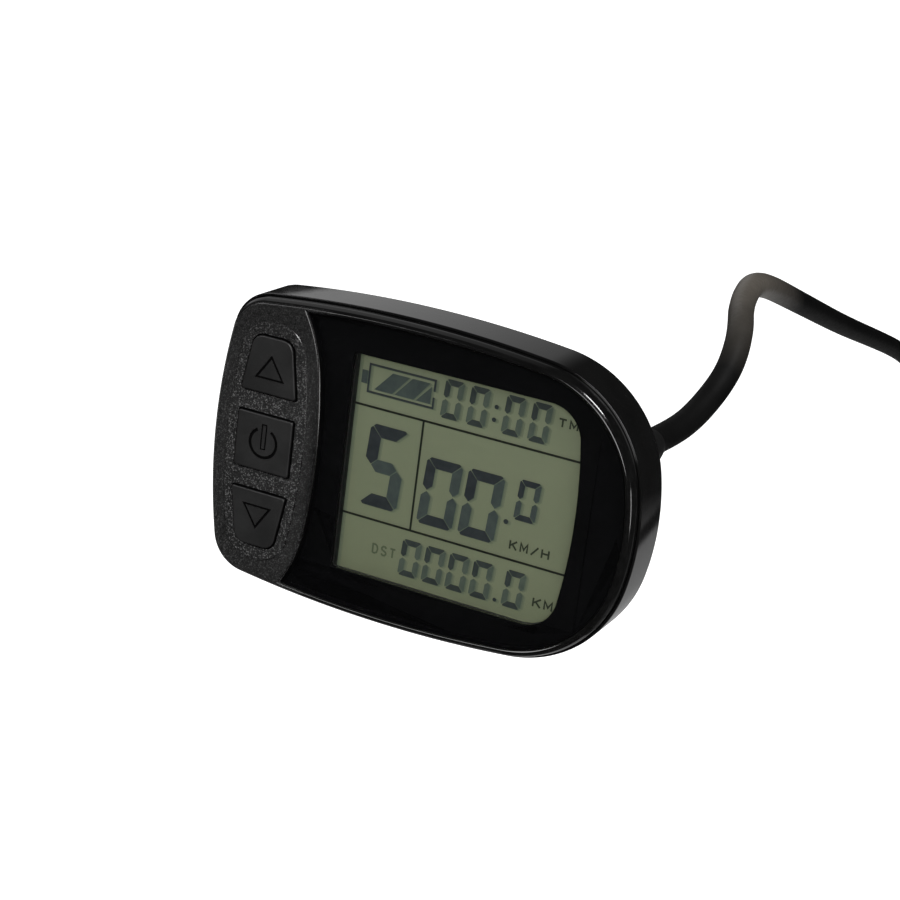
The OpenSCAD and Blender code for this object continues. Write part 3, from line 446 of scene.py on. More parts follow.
class Nodes:
    # Builds a node tree in small steps; place is the point in metres, or the direction in the world

    def __init__(self, tree, space):
        self.tree = tree
        self.place = self.node("ShaderNodeTexCoord").outputs[space]

    def feed(self, socket, value):
        # Links another node's output, or sets a number, a vector or a colour
        if isinstance(value, bpy.types.NodeSocket):
            self.tree.links.new(value, socket)
        elif socket.type == "RGBA":
            socket.default_value = (*value, 1)
        else:
            socket.default_value = value

    def node(self, kind, *inputs, **values):
        # Takes inputs in their order, and values by the names of inputs and settings
        made = self.tree.nodes.new(kind)
        for key, value in values.items():
            if key in made.inputs:
                self.feed(made.inputs[key], value)
            else:
                setattr(made, key, value)
        for socket, value in zip(made.inputs, inputs):
            self.feed(socket, value)
        return made

    def axes(self):
        return self.node("ShaderNodeSeparateXYZ", self.place).outputs

    def noise(self, size, detail=3, roughness=0.55, stretch=None):
        # Noise whose patches are about size metres across
        made = self.node("ShaderNodeTexNoise", Scale=1 / size, Detail=detail, Roughness=roughness)
        source = self.place
        if stretch:
            source = self.node("ShaderNodeMapping", source, Scale=stretch).outputs["Vector"]
        self.feed(made.inputs["Vector"], source)
        return made.outputs["Fac"]

    def span(self, value, low=0, high=1, start=0.3, end=0.7, way="LINEAR"):
        # From low to high while the value goes from start to end, and level beyond
        made = self.node("ShaderNodeMapRange", value, start, end, low, high, interpolation_type=way)
        return made.outputs["Result"]

    def math(self, operation, a, b=0):
        return self.node("ShaderNodeMath", a, b, operation=operation).outputs["Value"]

    def times(self, first, *others):
        for value in others:
            first = self.math("MULTIPLY", first, value)
        return first

    def mix(self, share, a, b):
        # A colour between a and b, each a tuple or another node's colour
        made = self.node("ShaderNodeMix", share, data_type="RGBA")
        self.feed(made.inputs[6], a)
        self.feed(made.inputs[7], b)
        return made.outputs[2]

    def mix_shaders(self, share, a, b):
        return self.node("ShaderNodeMixShader", share, a, b).outputs[0]


class Paint(Nodes):
    # One material, built round the usual surface shader

    def __init__(self, name):
        self.material = bpy.data.materials.new(name)
        self.material.use_nodes = True
        super().__init__(self.material.node_tree, "Object")
        self.shader = self.tree.nodes["Principled BSDF"]

    def head_height(self):
        # Height in the flat head, in millimetres
        up = (0, -math.cos(TILT) / MM, math.sin(TILT) / MM)
        turned = self.node("ShaderNodeVectorMath", self.place, up, operation="DOT_PRODUCT")
        return self.math("SUBTRACT", turned.outputs["Value"], BAR_BACK)

    def bump(self, height, depth, strength=1.0):
        made = self.node("ShaderNodeBump", Strength=strength, Distance=depth, Height=height)
        self.set(Normal=made.outputs["Normal"])

    def set(self, **values):
        for key, value in values.items():
            self.feed(self.shader.inputs[key.replace("_", " ")], value)

    def show(self, shader):
        self.feed(self.tree.nodes["Material Output"].inputs["Surface"], shader)


def grey(level, tint=(1, 1, 1)):
    return tuple(level * t for t in tint)


def moulded(name, level, rough, grain, depth, spread=0.25, tint=(1, 1, 1), metal=0.0, gloss=0.5):
    # Plastic, rubber or metal with a fine grain and slow changes of tone and gloss
    paint = Paint(name)
    fine = paint.noise(grain, 2)
    both = paint.math("ADD", paint.times(paint.noise(0.011, 4), 0.6), paint.times(fine, 0.4))
    dark, light = grey(level * (1 - spread), tint), grey(level * (1 + spread), tint)
    paint.set(Base_Color=paint.mix(paint.span(both, 0, 1), dark, light), Metallic=metal)
    paint.set(Roughness=paint.span(both, rough * 0.85, min(1, rough * 1.15)), Specular_IOR_Level=gloss)
    paint.bump(fine, depth)
    return paint.material


PANEL_FADE = (-0.0235, -0.0205)
PANEL_LEVELS = (14.4, 14.7)
EDGE_REACH = (0.012, 0.03)


def bezel_material():
    # Matt grain on the button panel with bright specks as painted glints, dimmer and less glossy towards
    # the top as painted shade; glossy black towards the window's bezel
    paint = Paint("bezel")
    axes = paint.axes()
    height = paint.head_height()
    inner = paint.span(axes["X"], 1, 0, *PANEL_FADE)
    panel = paint.times(inner, paint.span(height, 0, 1, *PANEL_LEVELS))
    grain = paint.noise(0.0002, 2, 0.7)
    streaks = paint.noise(0.0011, 4, 0.6, (0.12, 1, 1))
    # Painted shade: towards the top of the panel the glints and the gloss fall to half
    top_shade = paint.span(axes["Z"], 1, 0.5, 0.026, 0.038)
    specks = paint.node("ShaderNodeTexVoronoi", Vector=paint.place, Scale=1 / 0.00021)
    # Painted glints: bright specks in the grain, brighter on the raised field
    painted_glint = paint.span(specks.outputs["Color"], 0, 1, 0.66, 0.84)
    raised = paint.span(height, 0.18, 0.48, RIM_Z + 0.05, FIELD_Z - 0.05)
    tone = paint.mix(paint.span(grain, 0, 1, 0.42, 0.62), grey(0.001), grey(0.015))
    tone = paint.mix(paint.times(painted_glint, raised, top_shade), tone, grey(0.16))
    smooth_tone = paint.mix(paint.span(streaks, 0, 1), grey(0.0018), grey(0.004))
    paint.set(Base_Color=paint.mix(panel, smooth_tone, tone))
    from_rim = paint.math("ABSOLUTE", paint.math("SUBTRACT", height, RIM_Z))
    from_field = paint.math("ABSOLUTE", paint.math("SUBTRACT", height, FIELD_Z))
    nearest = paint.math("MINIMUM", from_rim, from_field)
    polish = paint.span(nearest, 0, 0.2, *EDGE_REACH)
    rough_panel = paint.math("SUBTRACT", paint.span(paint.noise(0.006, 3), 0.38, 0.46), polish)
    rough_bezel = paint.span(streaks, 0.07, 0.14)
    rougher = paint.times(paint.math("SUBTRACT", rough_panel, rough_bezel), panel)
    gloss = paint.times(paint.span(nearest, 0.2, 0.9, *EDGE_REACH), top_shade)
    paint.set(Roughness=paint.math("ADD", rough_bezel, rougher), Specular_IOR_Level=gloss)
    grained = paint.times(panel, paint.span(nearest, 1, 0.06, *EDGE_REACH), grain)
    paint.bump(paint.math("ADD", grained, paint.times(streaks, 0.012)), 0.0001)
    return paint.material


def cap_material():
    # Smooth satin caps, with painted shade, darker and less glossy, in the engraved signs and the gaps
    paint = Paint("button_cap")
    slow = paint.noise(0.007, 4)
    height = paint.head_height()
    tone = paint.mix(paint.span(slow, 0, 1), grey(0.0075), grey(0.0105))
    # Painted shade: below the top of the cap, in the signs and down the side walls, it turns dark
    raised = paint.span(height, 0, 1, CAP_Z - 0.2, CAP_Z - 0.03)
    paint.set(Base_Color=paint.mix(raised, grey(0.0015), tone))
    gloss = paint.span(height, 0.05, 0.33, CAP_Z - 0.22, CAP_Z - 0.05)
    paint.set(Roughness=paint.span(slow, 0.38, 0.46), Specular_IOR_Level=gloss)
    paint.bump(paint.noise(0.00025, 2), 0.000012)
    return paint.material


def shell_material():
    # Glossy black side walls with faint handling streaks
    paint = Paint("shell")
    slow = paint.noise(0.009, 4)
    streaks = paint.noise(0.0022, 4, 0.6, (1, 1, 0.25))
    paint.set(Base_Color=paint.mix(paint.span(slow, 0, 1), grey(0.0022), grey(0.0042)))
    both = paint.math("ADD", paint.times(slow, 0.5), paint.times(streaks, 0.5))
    paint.set(Roughness=paint.span(both, 0.035, 0.09))
    paint.bump(both, 0.000012, 0.5)
    return paint.material


def window_material():
    # Clear coated plastic by Fresnel: what is behind it shows through under a weak reflection
    paint = Paint("window")
    clear = paint.node("ShaderNodeBsdfTransparent", Color=(0.96, 0.97, 0.96))
    rough = paint.span(paint.noise(0.014, 4), 0.015, 0.04)
    gloss = paint.node("ShaderNodeBsdfGlossy", Roughness=rough)
    share = paint.node("ShaderNodeFresnel", IOR=1.45)
    coated = paint.times(share.outputs["Fac"], 0.35)
    paint.show(paint.mix_shaders(coated, clear.outputs[0], gloss.outputs[0]))
    paint.tree.nodes.remove(paint.shader)
    return paint.material


def display_material():
    # The display's grey-green face, a little lighter towards the top
    paint = Paint("display_face")
    rise = paint.span(paint.axes()["Z"], 0, 1, -0.012, 0.032)
    cloud = paint.noise(0.008, 3)
    tone = paint.mix(rise, (0.1155, 0.126, 0.0784), (0.1274, 0.14, 0.091))
    tone = paint.mix(paint.span(cloud, 0, 0.12), tone, (0.14, 0.14, 0.091))
    tone = paint.mix(paint.span(paint.noise(0.0004, 2), 0, 0.1), tone, (0.091, 0.105, 0.063))
    paint.set(Base_Color=tone, Roughness=paint.span(cloud, 0.55, 0.65), Specular_IOR_Level=0.2)
    return paint.material


def mark_material(name, low, high):
    # A sign on the display, which varies slowly between two tones
    paint = Paint("mark_" + name)
    cloud = paint.noise(0.0016, 3)
    paint.set(Base_Color=paint.mix(paint.span(cloud, 0, 1), low, high))
    paint.set(Roughness=paint.span(cloud, 0.5, 0.62), Specular_IOR_Level=0.2)
    return paint.material


def brushed_metal(name, colour, rough):
    paint = Paint(name)
    lines = paint.noise(0.0006, 4, 0.6, (1, 0.1, 1))
    dark = tuple(c * 0.78 for c in colour)
    tone = paint.mix(paint.span(paint.noise(0.004, 3), 0, 1), dark, colour)
    paint.set(Base_Color=tone, Metallic=1.0, Roughness=paint.span(lines, rough * 0.8, rough * 1.3))
    paint.bump(lines, 0.00001)
    return paint.material


def cable_material():
    # Dull black rubber; where the lead bends it is paler and browner, a painted highlight, and glossier
    paint = Paint("cable_jacket")
    forward = paint.axes()["Y"]
    # The band where the lead bends, which gets the painted highlight
    highlight_band = paint.times(paint.span(forward, 0, 1, 0.024, 0.066), paint.span(forward, 1, 0, 0.064, 0.102))
    slow = paint.span(paint.noise(0.011, 4), 0, 1)
    fine = paint.noise(0.0009, 2)
    black = paint.mix(slow, grey(0.0025), grey(0.0045))
    # Painted highlight: a pale brown colour that stands in for light on the bend
    painted_highlight = paint.mix(slow, (0.08, 0.071, 0.06), (0.105, 0.094, 0.08))
    paint.set(Base_Color=paint.mix(highlight_band, black, painted_highlight))
    smoother = paint.times(highlight_band, 0.2)
    paint.set(Roughness=paint.math("SUBTRACT", paint.span(fine, 0.52, 0.62), smoother))
    paint.set(Specular_IOR_Level=paint.math("ADD", paint.times(highlight_band, 0.4), 0.05))
    paint.bump(fine, 0.00002)
    return paint.material


def board_material():
    # Green laminate with paler tracks under the solder mask
    paint = Paint("board")
    tracks = paint.node("ShaderNodeTexBrick", Vector=paint.place, Scale=220.0)
    paint.feed(tracks.inputs["Mortar Size"], 0.012)
    slow = paint.noise(0.006, 3)
    tone = paint.mix(paint.span(slow, 0, 1), (0.008, 0.05, 0.02), (0.014, 0.085, 0.035))
    paint.set(Base_Color=paint.mix(tracks.outputs["Fac"], tone, (0.03, 0.13, 0.06)))
    paint.set(Roughness=paint.span(slow, 0.3, 0.42))
    return paint.material


bezel = bezel_material()
shell = shell_material()
window = window_material()
display = display_material()
cap = cap_material()
cable_skin = cable_material()
laminate = board_material()
mask = moulded("mask", level=0.0012, rough=0.6, grain=0.001, depth=0.000002, tint=(1, 1, 1.3), gloss=0.05)
gland_skin = moulded("gland_skin", level=0.005, rough=0.6, grain=0.0006, depth=0.00004, gloss=0.2)
rubber = moulded("rubber", level=0.012, rough=0.62, grain=0.0006, depth=0.00006)
clamp_plastic = moulded("clamp_plastic", level=0.013, rough=0.46, grain=0.00045, depth=0.00007)
plug_rubber = moulded("plug_rubber", level=0.011, rough=0.52, grain=0.0006, depth=0.00005)
insert = moulded("insert", level=0.03, rough=0.4, grain=0.0004, depth=0.00002, spread=0.2)
black_screw = moulded(
    "black_screw", level=0.035, rough=0.36, grain=0.0005, depth=0.00003, spread=0.2, metal=1.0
)
chip = moulded("chip", level=0.02, rough=0.5, grain=0.0003, depth=0.00002)
pale = moulded(
    "pale_plastic", level=0.6, rough=0.45, grain=0.0005, depth=0.00003, spread=0.06, tint=(1, 0.98, 0.92)
)
strip = moulded(
    "strip_rubber", level=0.35, rough=0.7, grain=0.0005, depth=0.00003, spread=0.1, tint=(1, 0.86, 0.78)
)
wire = moulded(
    "wire_insulation", level=0.3, rough=0.4, grain=0.0006, depth=0.00002, spread=0.2, tint=(1, 0.12, 0.08)
)
steel = brushed_metal("steel", (0.55, 0.55, 0.56), 0.3)
brass = brushed_metal("brass", (0.75, 0.55, 0.22), 0.24)
zinc = brushed_metal("zinc", (0.62, 0.63, 0.66), 0.28)
MARK_TONES = {
    "dark": ((0.0116, 0.0137, 0.017), (0.0186, 0.0221, 0.0256)),
    "mid": ((0.0266, 0.035, 0.035), (0.0378, 0.0476, 0.0448)),
    "small": ((0.0165, 0.0205, 0.0205), (0.025, 0.031, 0.03)),
    "pale": ((0.041, 0.052, 0.0435), (0.053, 0.065, 0.053)),
    "word": ((0.0127, 0.0157, 0.0098), (0.0176, 0.0206, 0.0132)),
    "line": ((0.0035, 0.0042, 0.0035), (0.0056, 0.0063, 0.0049)),
    "faint": ((0.0504, 0.0602, 0.0364), (0.0588, 0.07, 0.0434)),
    "shade_near": ((0.07, 0.084, 0.0588), (0.0784, 0.0924, 0.0644)),
    "shade_far": ((0.0924, 0.105, 0.0686), (0.0994, 0.1134, 0.0742)),
}
inks = {name: mark_material(name, low, high) for name, (low, high) in MARK_TONES.items()}


# Lead and plug, whose route repeats the points in part.scad

ROUTE = [
    (0.041, 0.008, 0.0185), (0.042, 0.014, 0.019), (0.043, 0.020, 0.0205),
    (0.044, 0.026, 0.0235), (0.0435, 0.032, 0.0265), (0.0415, 0.039, 0.0275),
    (0.039, 0.046, 0.0265), (0.037, 0.054, 0.026), (0.0355, 0.064, 0.024),
    (0.0345, 0.079, 0.0165), (0.0335, 0.099, 0.004), (0.033, 0.119, -0.008),
    (0.032, 0.140, -0.021), (0.0315, 0.164, -0.0355), (0.031, 0.188, -0.0495),
    (0.031, 0.212, -0.064), (0.032, 0.230, -0.076), (0.036, 0.247, -0.092),
    (0.040, 0.260, -0.112), (0.043, 0.268, -0.135), (0.044, 0.270, -0.158),
    (0.044, 0.270, -0.180), (0.044, 0.270, -0.195),
]
LEAD_STRAIGHT = 5.0
GLAND_TURN = math.radians(16.8)
GLAND_IN = 4.9
GLAND = Vector((BODY_W / 2 - END_R, 0)) + polar(END_R - GLAND_IN, GLAND_TURN)
ROUTE_STEPS = 6
LEAD_SIDES = 24
EASE_ROUNDS = 40
EASE_PULL = 0.5
NEAR_EASE = 0.8
FIXED_ENDS = 3


def smooth_curve(points, steps):
    # Passes through every point, by the rule of Catmull and Rom
    ends = [2 * points[0] - points[1]] + points + [2 * points[-1] - points[-2]]
    out = []
    for i in range(len(points) - 1):
        a, b, c, d = ends[i : i + 4]
        for k in range(steps):
            t = k / steps
            square, cube = 2 * a - 5 * b + 4 * c - d, 3 * b - a - 3 * c + d
            out.append((2 * b + (c - a) * t + square * t * t + cube * t**3) / 2)
    return out + [points[-1]]


def ramp(value, start, end, low=0.0):
    # Up from low to 1 while the value goes from start to end
    return min(1, max(low, (value - start) / (end - start)))


def ease_at(s):
    # How strongly the lead is evened out, s metres from the gland
    near = NEAR_EASE * ramp(s, 0.003, 0.007) * ramp(s, 0.03, 0.022, 0.25)
    return max(near, ramp(s, 0.062, 0.102) * ramp(s, 0.25, 0.22))


def eased(path):
    # Takes the small waves out of the lead, least where it bends
    run = [0.0]
    for i in range(1, len(path)):
        run.append(run[-1] + (path[i] - path[i - 1]).length)
    pull = [EASE_PULL * ease_at(s) for s in run]
    for _ in range(EASE_ROUNDS):
        moved = [p.copy() for p in path]
        for i in range(FIXED_ENDS, len(path) - FIXED_ENDS):
            moved[i] += pull[i] * ((path[i - 1] + path[i + 1]) / 2 - path[i])
        path = moved
    return path


def tube(name, path, first_way, radius, sides):
    count = len(path)
    points = []
    for i, p in enumerate(path):
        way = (path[min(i + 1, count - 1)] - path[i - 1]).normalized() if i else first_way
        u = way.cross(Vector((1, 0, 0))).normalized()
        w = way.cross(u)
        for k in range(sides):
            turn = math.tau * k / sides
            points.append(p + radius * (u * math.cos(turn) + w * math.sin(turn)))
    faces = [tuple(range(sides)), tuple(reversed(range((count - 1) * sides, count * sides)))]
    for i in range(count - 1):
        for k in range(sides):
            a, b = i * sides + k, i * sides + (k + 1) % sides
            faces.append((a, a + sides, b + sides, b))
    return mesh_object(name, points, faces)


def add_lead():
    start = HEAD @ Vector((GLAND.x, GLAND.y, -GLAND_LEN))
    back = Vector((0, math.cos(TILT), -math.sin(TILT)))
    route = [start, start + back * LEAD_STRAIGHT * MM] + [Vector(p) for p in ROUTE]
    path = eased(smooth_curve(route, ROUTE_STEPS))
    lead = tube("lead", path, back, CABLE_D / 2 * MM, LEAD_SIDES)
    finish_piece(lead, cable_skin, "display", "cable", flat=False, angle=60)
    plug = [
        from_cad("plug_body", plug_rubber, 0.3, segments=3),
        from_cad("plug_insert", insert, 0.08),
        from_cad("plug_pins_set", brass, 0.1),
        from_cad("plug_seal", rubber, 0.02, limit=80),
    ]


# Front case: bezel ridge, panel, raised field, button holes and the recess of the window

SHELL_ANGLE = 28
CUT = 1.0
RIDGE = [
    (0.6, FLANGE_SEAT_Z), (0.6, 12.1), (0.72, 13.3), (0.77, 13.48), (0.86, 13.68), (1.13, 14.3),
    (1.21, 14.42), (1.32, 14.5), (1.6, 14.81), (1.7, 14.87), (1.82, 14.893), (1.95, RIM_Z),
]
RECESS_EDGE = [
    (0, MASK_LOW), (0, 14.46), (0.04, 14.56), (0.11, 14.67), (0.2, 14.77), (0.3, 14.84),
    (0.6, 14.99), (0.6, 15.6),
]
FIELD_EDGE = [
    (-0.17, UNDER_Z + 0.5), (-0.17, RIM_Z - 0.03), (-0.14, RIM_Z + 0.01), (0.02, FIELD_Z - 0.035),
    (0.07, FIELD_Z - 0.008), (0.2, FIELD_Z),
]
FRONT_LOW = 10
OPENING_GROW = 0.2
OPENING_TOP = 13.5
UNDER_GROW = 0.6
HOLE_GROW = 0.27
TONGUE_IN = 1.9
TONGUE_LOW = 9.1
TONGUE_TOP = 11.5
HOLE_LOW = 12
HOLE_TOP = 16
BOSS_TOP = 12.2
CASE_BOSS_R = 2
CASE_BOSS_LOW = 7.45
BOARD_BOSS_R = 2.2
BOARD_BOSS_LOW = 7.2
BOARD_SCREWS = ((-22.5, 25.8), (-22.5, -25.8), (40.3, -8.0))
CASE_SCREW_EDGE = 3.9
CASE_SCREW_TURNS = (math.radians(45), math.radians(104))


def case_screw_places():
    right = BODY.right_corner + polar(RIGHT_CORNER_R - CASE_SCREW_EDGE, CASE_SCREW_TURNS[0])
    left = BODY.left_corner + polar(LEFT_CORNER_R - CASE_SCREW_EDGE, CASE_SCREW_TURNS[1])
    return [Vector((p.x, p.y * m)) for p in (right, left) for m in (1, -1)]


def up_outline(grow):
    return arrow_outline(grow, 1)


def down_outline(grow):
    return arrow_outline(grow, -1)


def add_front_case():
    case = stepped("bezel", BODY.closed, RIDGE)
    combine(case, stepped("field", FIELD.closed, FIELD_EDGE), "UNION")
    combine(case, stepped("recess", lens_outline, RECESS_EDGE))
    combine(case, prism("opening", WINDOW.closed(-OPENING_GROW), FRONT_LOW, OPENING_TOP))
    combine(case, prism("hollow", BODY.closed(CAVITY_IN), FRONT_LOW, LEDGE_Z))
    combine(case, prism("under", FIELD.closed(-UNDER_GROW), FRONT_LOW, UNDER_Z))
    for outline in (power_outline, up_outline, down_outline):
        combine(case, prism("hole", outline(HOLE_GROW), HOLE_LOW, HOLE_TOP))
    tongue = frame_prism("tongue", BODY.closed(TONGUE_IN), BODY.closed(CAVITY_IN), TONGUE_LOW, TONGUE_TOP)
    combine(case, tongue, "UNION")
    bosses = [(*p, CASE_BOSS_R, CASE_BOSS_LOW) for p in case_screw_places()]
    bosses += [(x, y, BOARD_BOSS_R, BOARD_BOSS_LOW) for x, y in BOARD_SCREWS]
    for x, y, r, low in bosses:
        combine(case, prism("boss", circle(x, y, r), low, BOSS_TOP), "UNION")
    finish_piece(case, bezel, node="front_case", angle=SHELL_ANGLE)


# Rear case: rounded tray with a lip, screw recesses and the gland's hole

LIP_EDGE = [(0, SEAM_Z - 0.24), (0.03, SEAM_Z - 0.13), (0.1, SEAM_Z - 0.04), (0.2, SEAM_Z)]
SCREW_SEAT = ((2.5, -0.2), (2.3, 0.02), (2.1, 0.2), (2.1, 1.5))
COLUMN_R = 2.2
COLUMN_LOW = 1
COLUMN_TOP = 7.1
BORE_TOP = 8
SCREW_BORE_R = 1.25
GLAND_BORE_R = 3.3


def add_rear_case():
    edge = [
        (REAR_ROUND * (1 - math.sin(turn)), REAR_ROUND * (1 - math.cos(turn)))
        for turn in quarter_turns(8)
    ]
    case = stepped("shell", BODY.closed, edge + LIP_EDGE)
    combine(case, prism("lip", BODY.closed(LIP_W), SHELF_Z, SEAM_Z + CUT))
    combine(case, prism("hollow", BODY.closed(WALL_T), FLOOR_T, SEAM_Z + CUT))
    for p in case_screw_places():
        combine(case, prism("column", circle(*p, COLUMN_R), COLUMN_LOW, COLUMN_TOP), "UNION")
        combine(case, loft("seat", [(circle(*p, r), z) for r, z in SCREW_SEAT]))
        combine(case, prism("bore", circle(*p, SCREW_BORE_R), COLUMN_LOW, BORE_TOP))
    combine(case, prism("gland_hole", circle(*GLAND, GLAND_BORE_R), -CUT, FLOOR_T + 0.5))
    finish_piece(case, shell, node="rear_case", angle=SHELL_ANGLE)


# Window, mask and display

LENS_EDGE = [(-0.14, MASK_TOP), (-0.1, 13.05), (-0.1, 14.46), (-0.13, LENS_Z)]
FILM_EDGE = [(0, 12.5), (0, 12.84), (-0.16, 12.99), (-0.16, 13.5)]
FILM_GROW = -0.1
SKIRT_OUT = -0.11
SKIRT_IN = -0.19
SKIRT_LOW = MASK_TOP - 0.1
SKIRT_TOP = 14.44


def add_window():
    lens = stepped("window", lens_outline, LENS_EDGE)
    finish_piece(lens, window, node="window_lens", angle=40)
    film = prism("mask_film", lens_outline(FILM_GROW), MASK_LOW, MASK_TOP)
    combine(film, stepped("opening", WINDOW.closed, FILM_EDGE))
    skirt = frame_prism("skirt", lens_outline(SKIRT_OUT), lens_outline(SKIRT_IN), SKIRT_LOW, SKIRT_TOP)
    finish_piece(joined("lens_print", [film, skirt]), mask, node="lens_mask")


SLANT = math.tan(math.radians(3.5))
MARK_LOW = LCD_Z + 0.03
MARK_HIGH = LCD_Z + 0.06
GAP = 0.12
MITRE = 0.35


def segments(x, y, w, h, t):
    # The seven segments of a leaning digit with mitred corners, t wide, by name
    c = t * MITRE
    m = h / 2
    g = GAP
    top = [
        (c / 2 + g, h - c / 2), (c + g, h), (w - c - g, h), (w - c / 2 - g, h - c / 2),
        (w - t - g * 0.4, h - t), (t + g * 0.4, h - t),
    ]
    upper_left = [
        (c / 2, h - c / 2 - g), (t, h - t - g * 0.6), (t, m + t / 2 + g / 2), (t / 2, m + g),
        (0, m + t / 2 + g / 2), (0, h - c - g),
    ]
    middle = [
        (t / 2 + g, m), (t + g / 2, m + t / 2), (w - t - g / 2, m + t / 2), (w - t / 2 - g, m),
        (w - t - g / 2, m - t / 2), (t + g / 2, m - t / 2),
    ]
    shapes = {
        "top": top,
        "middle": middle,
        "bottom": [(a, h - b) for a, b in reversed(top)],
        "upper_left": upper_left,
        "lower_left": [(a, h - b) for a, b in reversed(upper_left)],
        "upper_right": [(w - a, b) for a, b in reversed(upper_left)],
        "lower_right": [(w - a, h - b) for a, b in upper_left],
    }
    return {
        key: [Vector((x + a + SLANT * (b - m), y + b)) for a, b in points]
        for key, points in shapes.items()
    }


# Signs of the display in millimetres from the head's middle. Each row of digits has the places
# of its left sides, the foot, width, height and stroke of a digit, its segments and their inks.
# A shade has its ink, its shift and the levels between which it lies above the display.

DARK_PARTS = ("top", "upper_left", "bottom")
ZERO = ("top", "bottom", "upper_left", "lower_left", "upper_right", "lower_right")
FIVE = ("top", "upper_left", "middle", "lower_right", "bottom")
LARGE_INKS = ("dark", "mid")
SMALL_INKS = ("small", "pale")
DIGITS = (
    ((2.35, 7.9, 15.4, 20.95), 13.5, 4.55, 7.9, 1.2, ZERO, SMALL_INKS),
    ((-13.0,), -8.2, 9.6, 16.95, 2.6, FIVE, LARGE_INKS),
    ((0.15, 9.2), -8.8, 8.7, 13.9, 2.1, ZERO, LARGE_INKS),
    ((20.45,), -2.65, 5.05, 8.3, 1.2, ZERO, LARGE_INKS),
    ((-2.5, 2.75, 8.0, 13.25), -20.65, 4.75, 7.7, 1.2, ZERO, SMALL_INKS),
    ((20.35,), -20.65, 4.65, 7.7, 1.2, ZERO, SMALL_INKS),
)
DOTS = ((13.95, 18.35, 0.45), (13.75, 15.75, 0.45), (19.1, -3.6, 0.5), (19.0, -19.95, 0.4))
BATTERY = (-13.9, 14.6, 0.85, 20.6)
BATTERY_LINE = 0.42
BATTERY_GAP = (16.95, 18.15)
BATTERY_TIP = (-15.3, 16.3, -14.0, 18.95)
BATTERY_BARS = (
    ((-12.3, 15.5), (-8.3, 15.5), (-4.85, 19.6), (-8.65, 19.6)),
    ((-7.8, 15.5), (-3.6, 15.5), (-0.35, 19.6), (-4.25, 19.6)),
    ((-3.1, 15.5), (0.05, 15.5), (0.05, 19.05)),
)
SHADES = (("shade_near", 0.28, 0.012, 0.02), ("shade_far", 0.62, 0.003, 0.008))
SHADE_FALL = 0.25
LINE = 0.22
ROW_LINES = (11.9, -10.95)
COLUMN_LINE = -0.83
PAST_WINDOW = 0.6
LABELS = (
    ("TM", 26.8, 17.6, 31.0, 19.5),
    ("KM/H", 20.45, -8.95, 29.0, -6.85),
    ("KM", 26.9, -19.1, 31.2, -17.0),
)
DISTANCE_LABEL = (("DST", -8.65, -17.9, -3.3, -15.7),)
BORDER_X = -16.0
# Two steps of painted shade beside the display's left border
BORDER_SHADES = (("shade_near", 0, 0.3), ("shade_far", 0.3, 0.75))
LETTERS = {
    "T": [[(0, 1), (1, 1)], [(0.5, 1), (0.5, 0)]],
    "M": [[(0, 0), (0, 1), (0.5, 0.3), (1, 1), (1, 0)]],
    "K": [[(0, 0), (0, 1)], [(1, 1), (0.05, 0.42)], [(0.32, 0.6), (1, 0)]],
    "H": [[(0, 0), (0, 1)], [(1, 0), (1, 1)], [(0, 0.52), (1, 0.52)]],
    "/": [[(0, 0), (1, 1)]],
    "D": [[(0, 0), (0, 1), (0.5, 1), (0.85, 0.85), (1, 0.5), (0.85, 0.15), (0.5, 0), (0, 0)]],
    "S": [[
        (0.97, 0.84), (0.72, 1), (0.28, 1), (0.03, 0.8), (0.14, 0.6), (0.86, 0.4), (0.97, 0.2),
        (0.72, 0), (0.28, 0), (0.03, 0.16),
    ]],
}
STROKE = 0.36
LETTER_GAP = 0.5


def box(x1, y1, x2, y2):
    return [Vector(p) for p in ((x1, y1), (x2, y1), (x2, y2), (x1, y2))]


def battery(marks):
    left, low, right, high = BATTERY
    line = BATTERY_LINE
    marks["dark"] += [
        box(left, low, right, low + line),
        box(left, high - line, right, high),
        box(left, low + line, left + line, high - line),
        box(right - line, low + line, right, BATTERY_GAP[0]),
        box(right - line, BATTERY_GAP[1], right, high - line),
    ]
    marks["mid"].append(box(*BATTERY_TIP))
    marks["mid"] += [[Vector(p) for p in bar] for bar in BATTERY_BARS]


def digits(marks):
    for places, y, width, h, t, parts, (dark, light) in DIGITS:
        w = width - SLANT * h
        for x in places:
            for key, points in segments(x + SLANT * h / 2, y, w, h, t).items():
                if key in parts:
                    marks[dark if key in DARK_PARTS else light].append(points)


def band(line, width):
    # A band of even width along a line of points, with mitred corners
    sides = ([], [])
    for i, p in enumerate(line):
        before = (p - line[i - 1]).normalized() if i else (line[1] - p).normalized()
        after = (line[i + 1] - p).normalized() if i < len(line) - 1 else before
        way = (before + after).normalized() if (before + after).length > 0.2 else after
        across = Vector((-way.y, way.x))
        reach = width / 2 / max(0.45, abs(across.dot(Vector((-after.y, after.x)))))
        sides[0].append(p + across * reach)
        sides[1].append(p - across * reach)
    return sides[1] + list(reversed(sides[0]))


def marks_piece(name, rings, ink, low=MARK_LOW, high=MARK_HIGH):
    piece = joined(name, [prism("mark", ring, low, high) for ring in rings])
    finish_piece(piece, inks[ink])


def words(labels):
    # Bands for all letters of all labels, each spread evenly over its label's box
    rings = []
    for body, x1, y1, x2, y2 in labels:
        wide = (x2 - x1 - LETTER_GAP * (len(body) - 1)) / len(body)
        for i, letter in enumerate(body):
            left, low = x1 + i * (wide + LETTER_GAP) + STROKE / 2, y1 + STROKE / 2
            across, up = wide - STROKE, y2 - y1 - STROKE
            for line in LETTERS[letter]:
                rings.append(band([Vector((left + x * across, low + y * up)) for x, y in line], STROKE))
    return rings


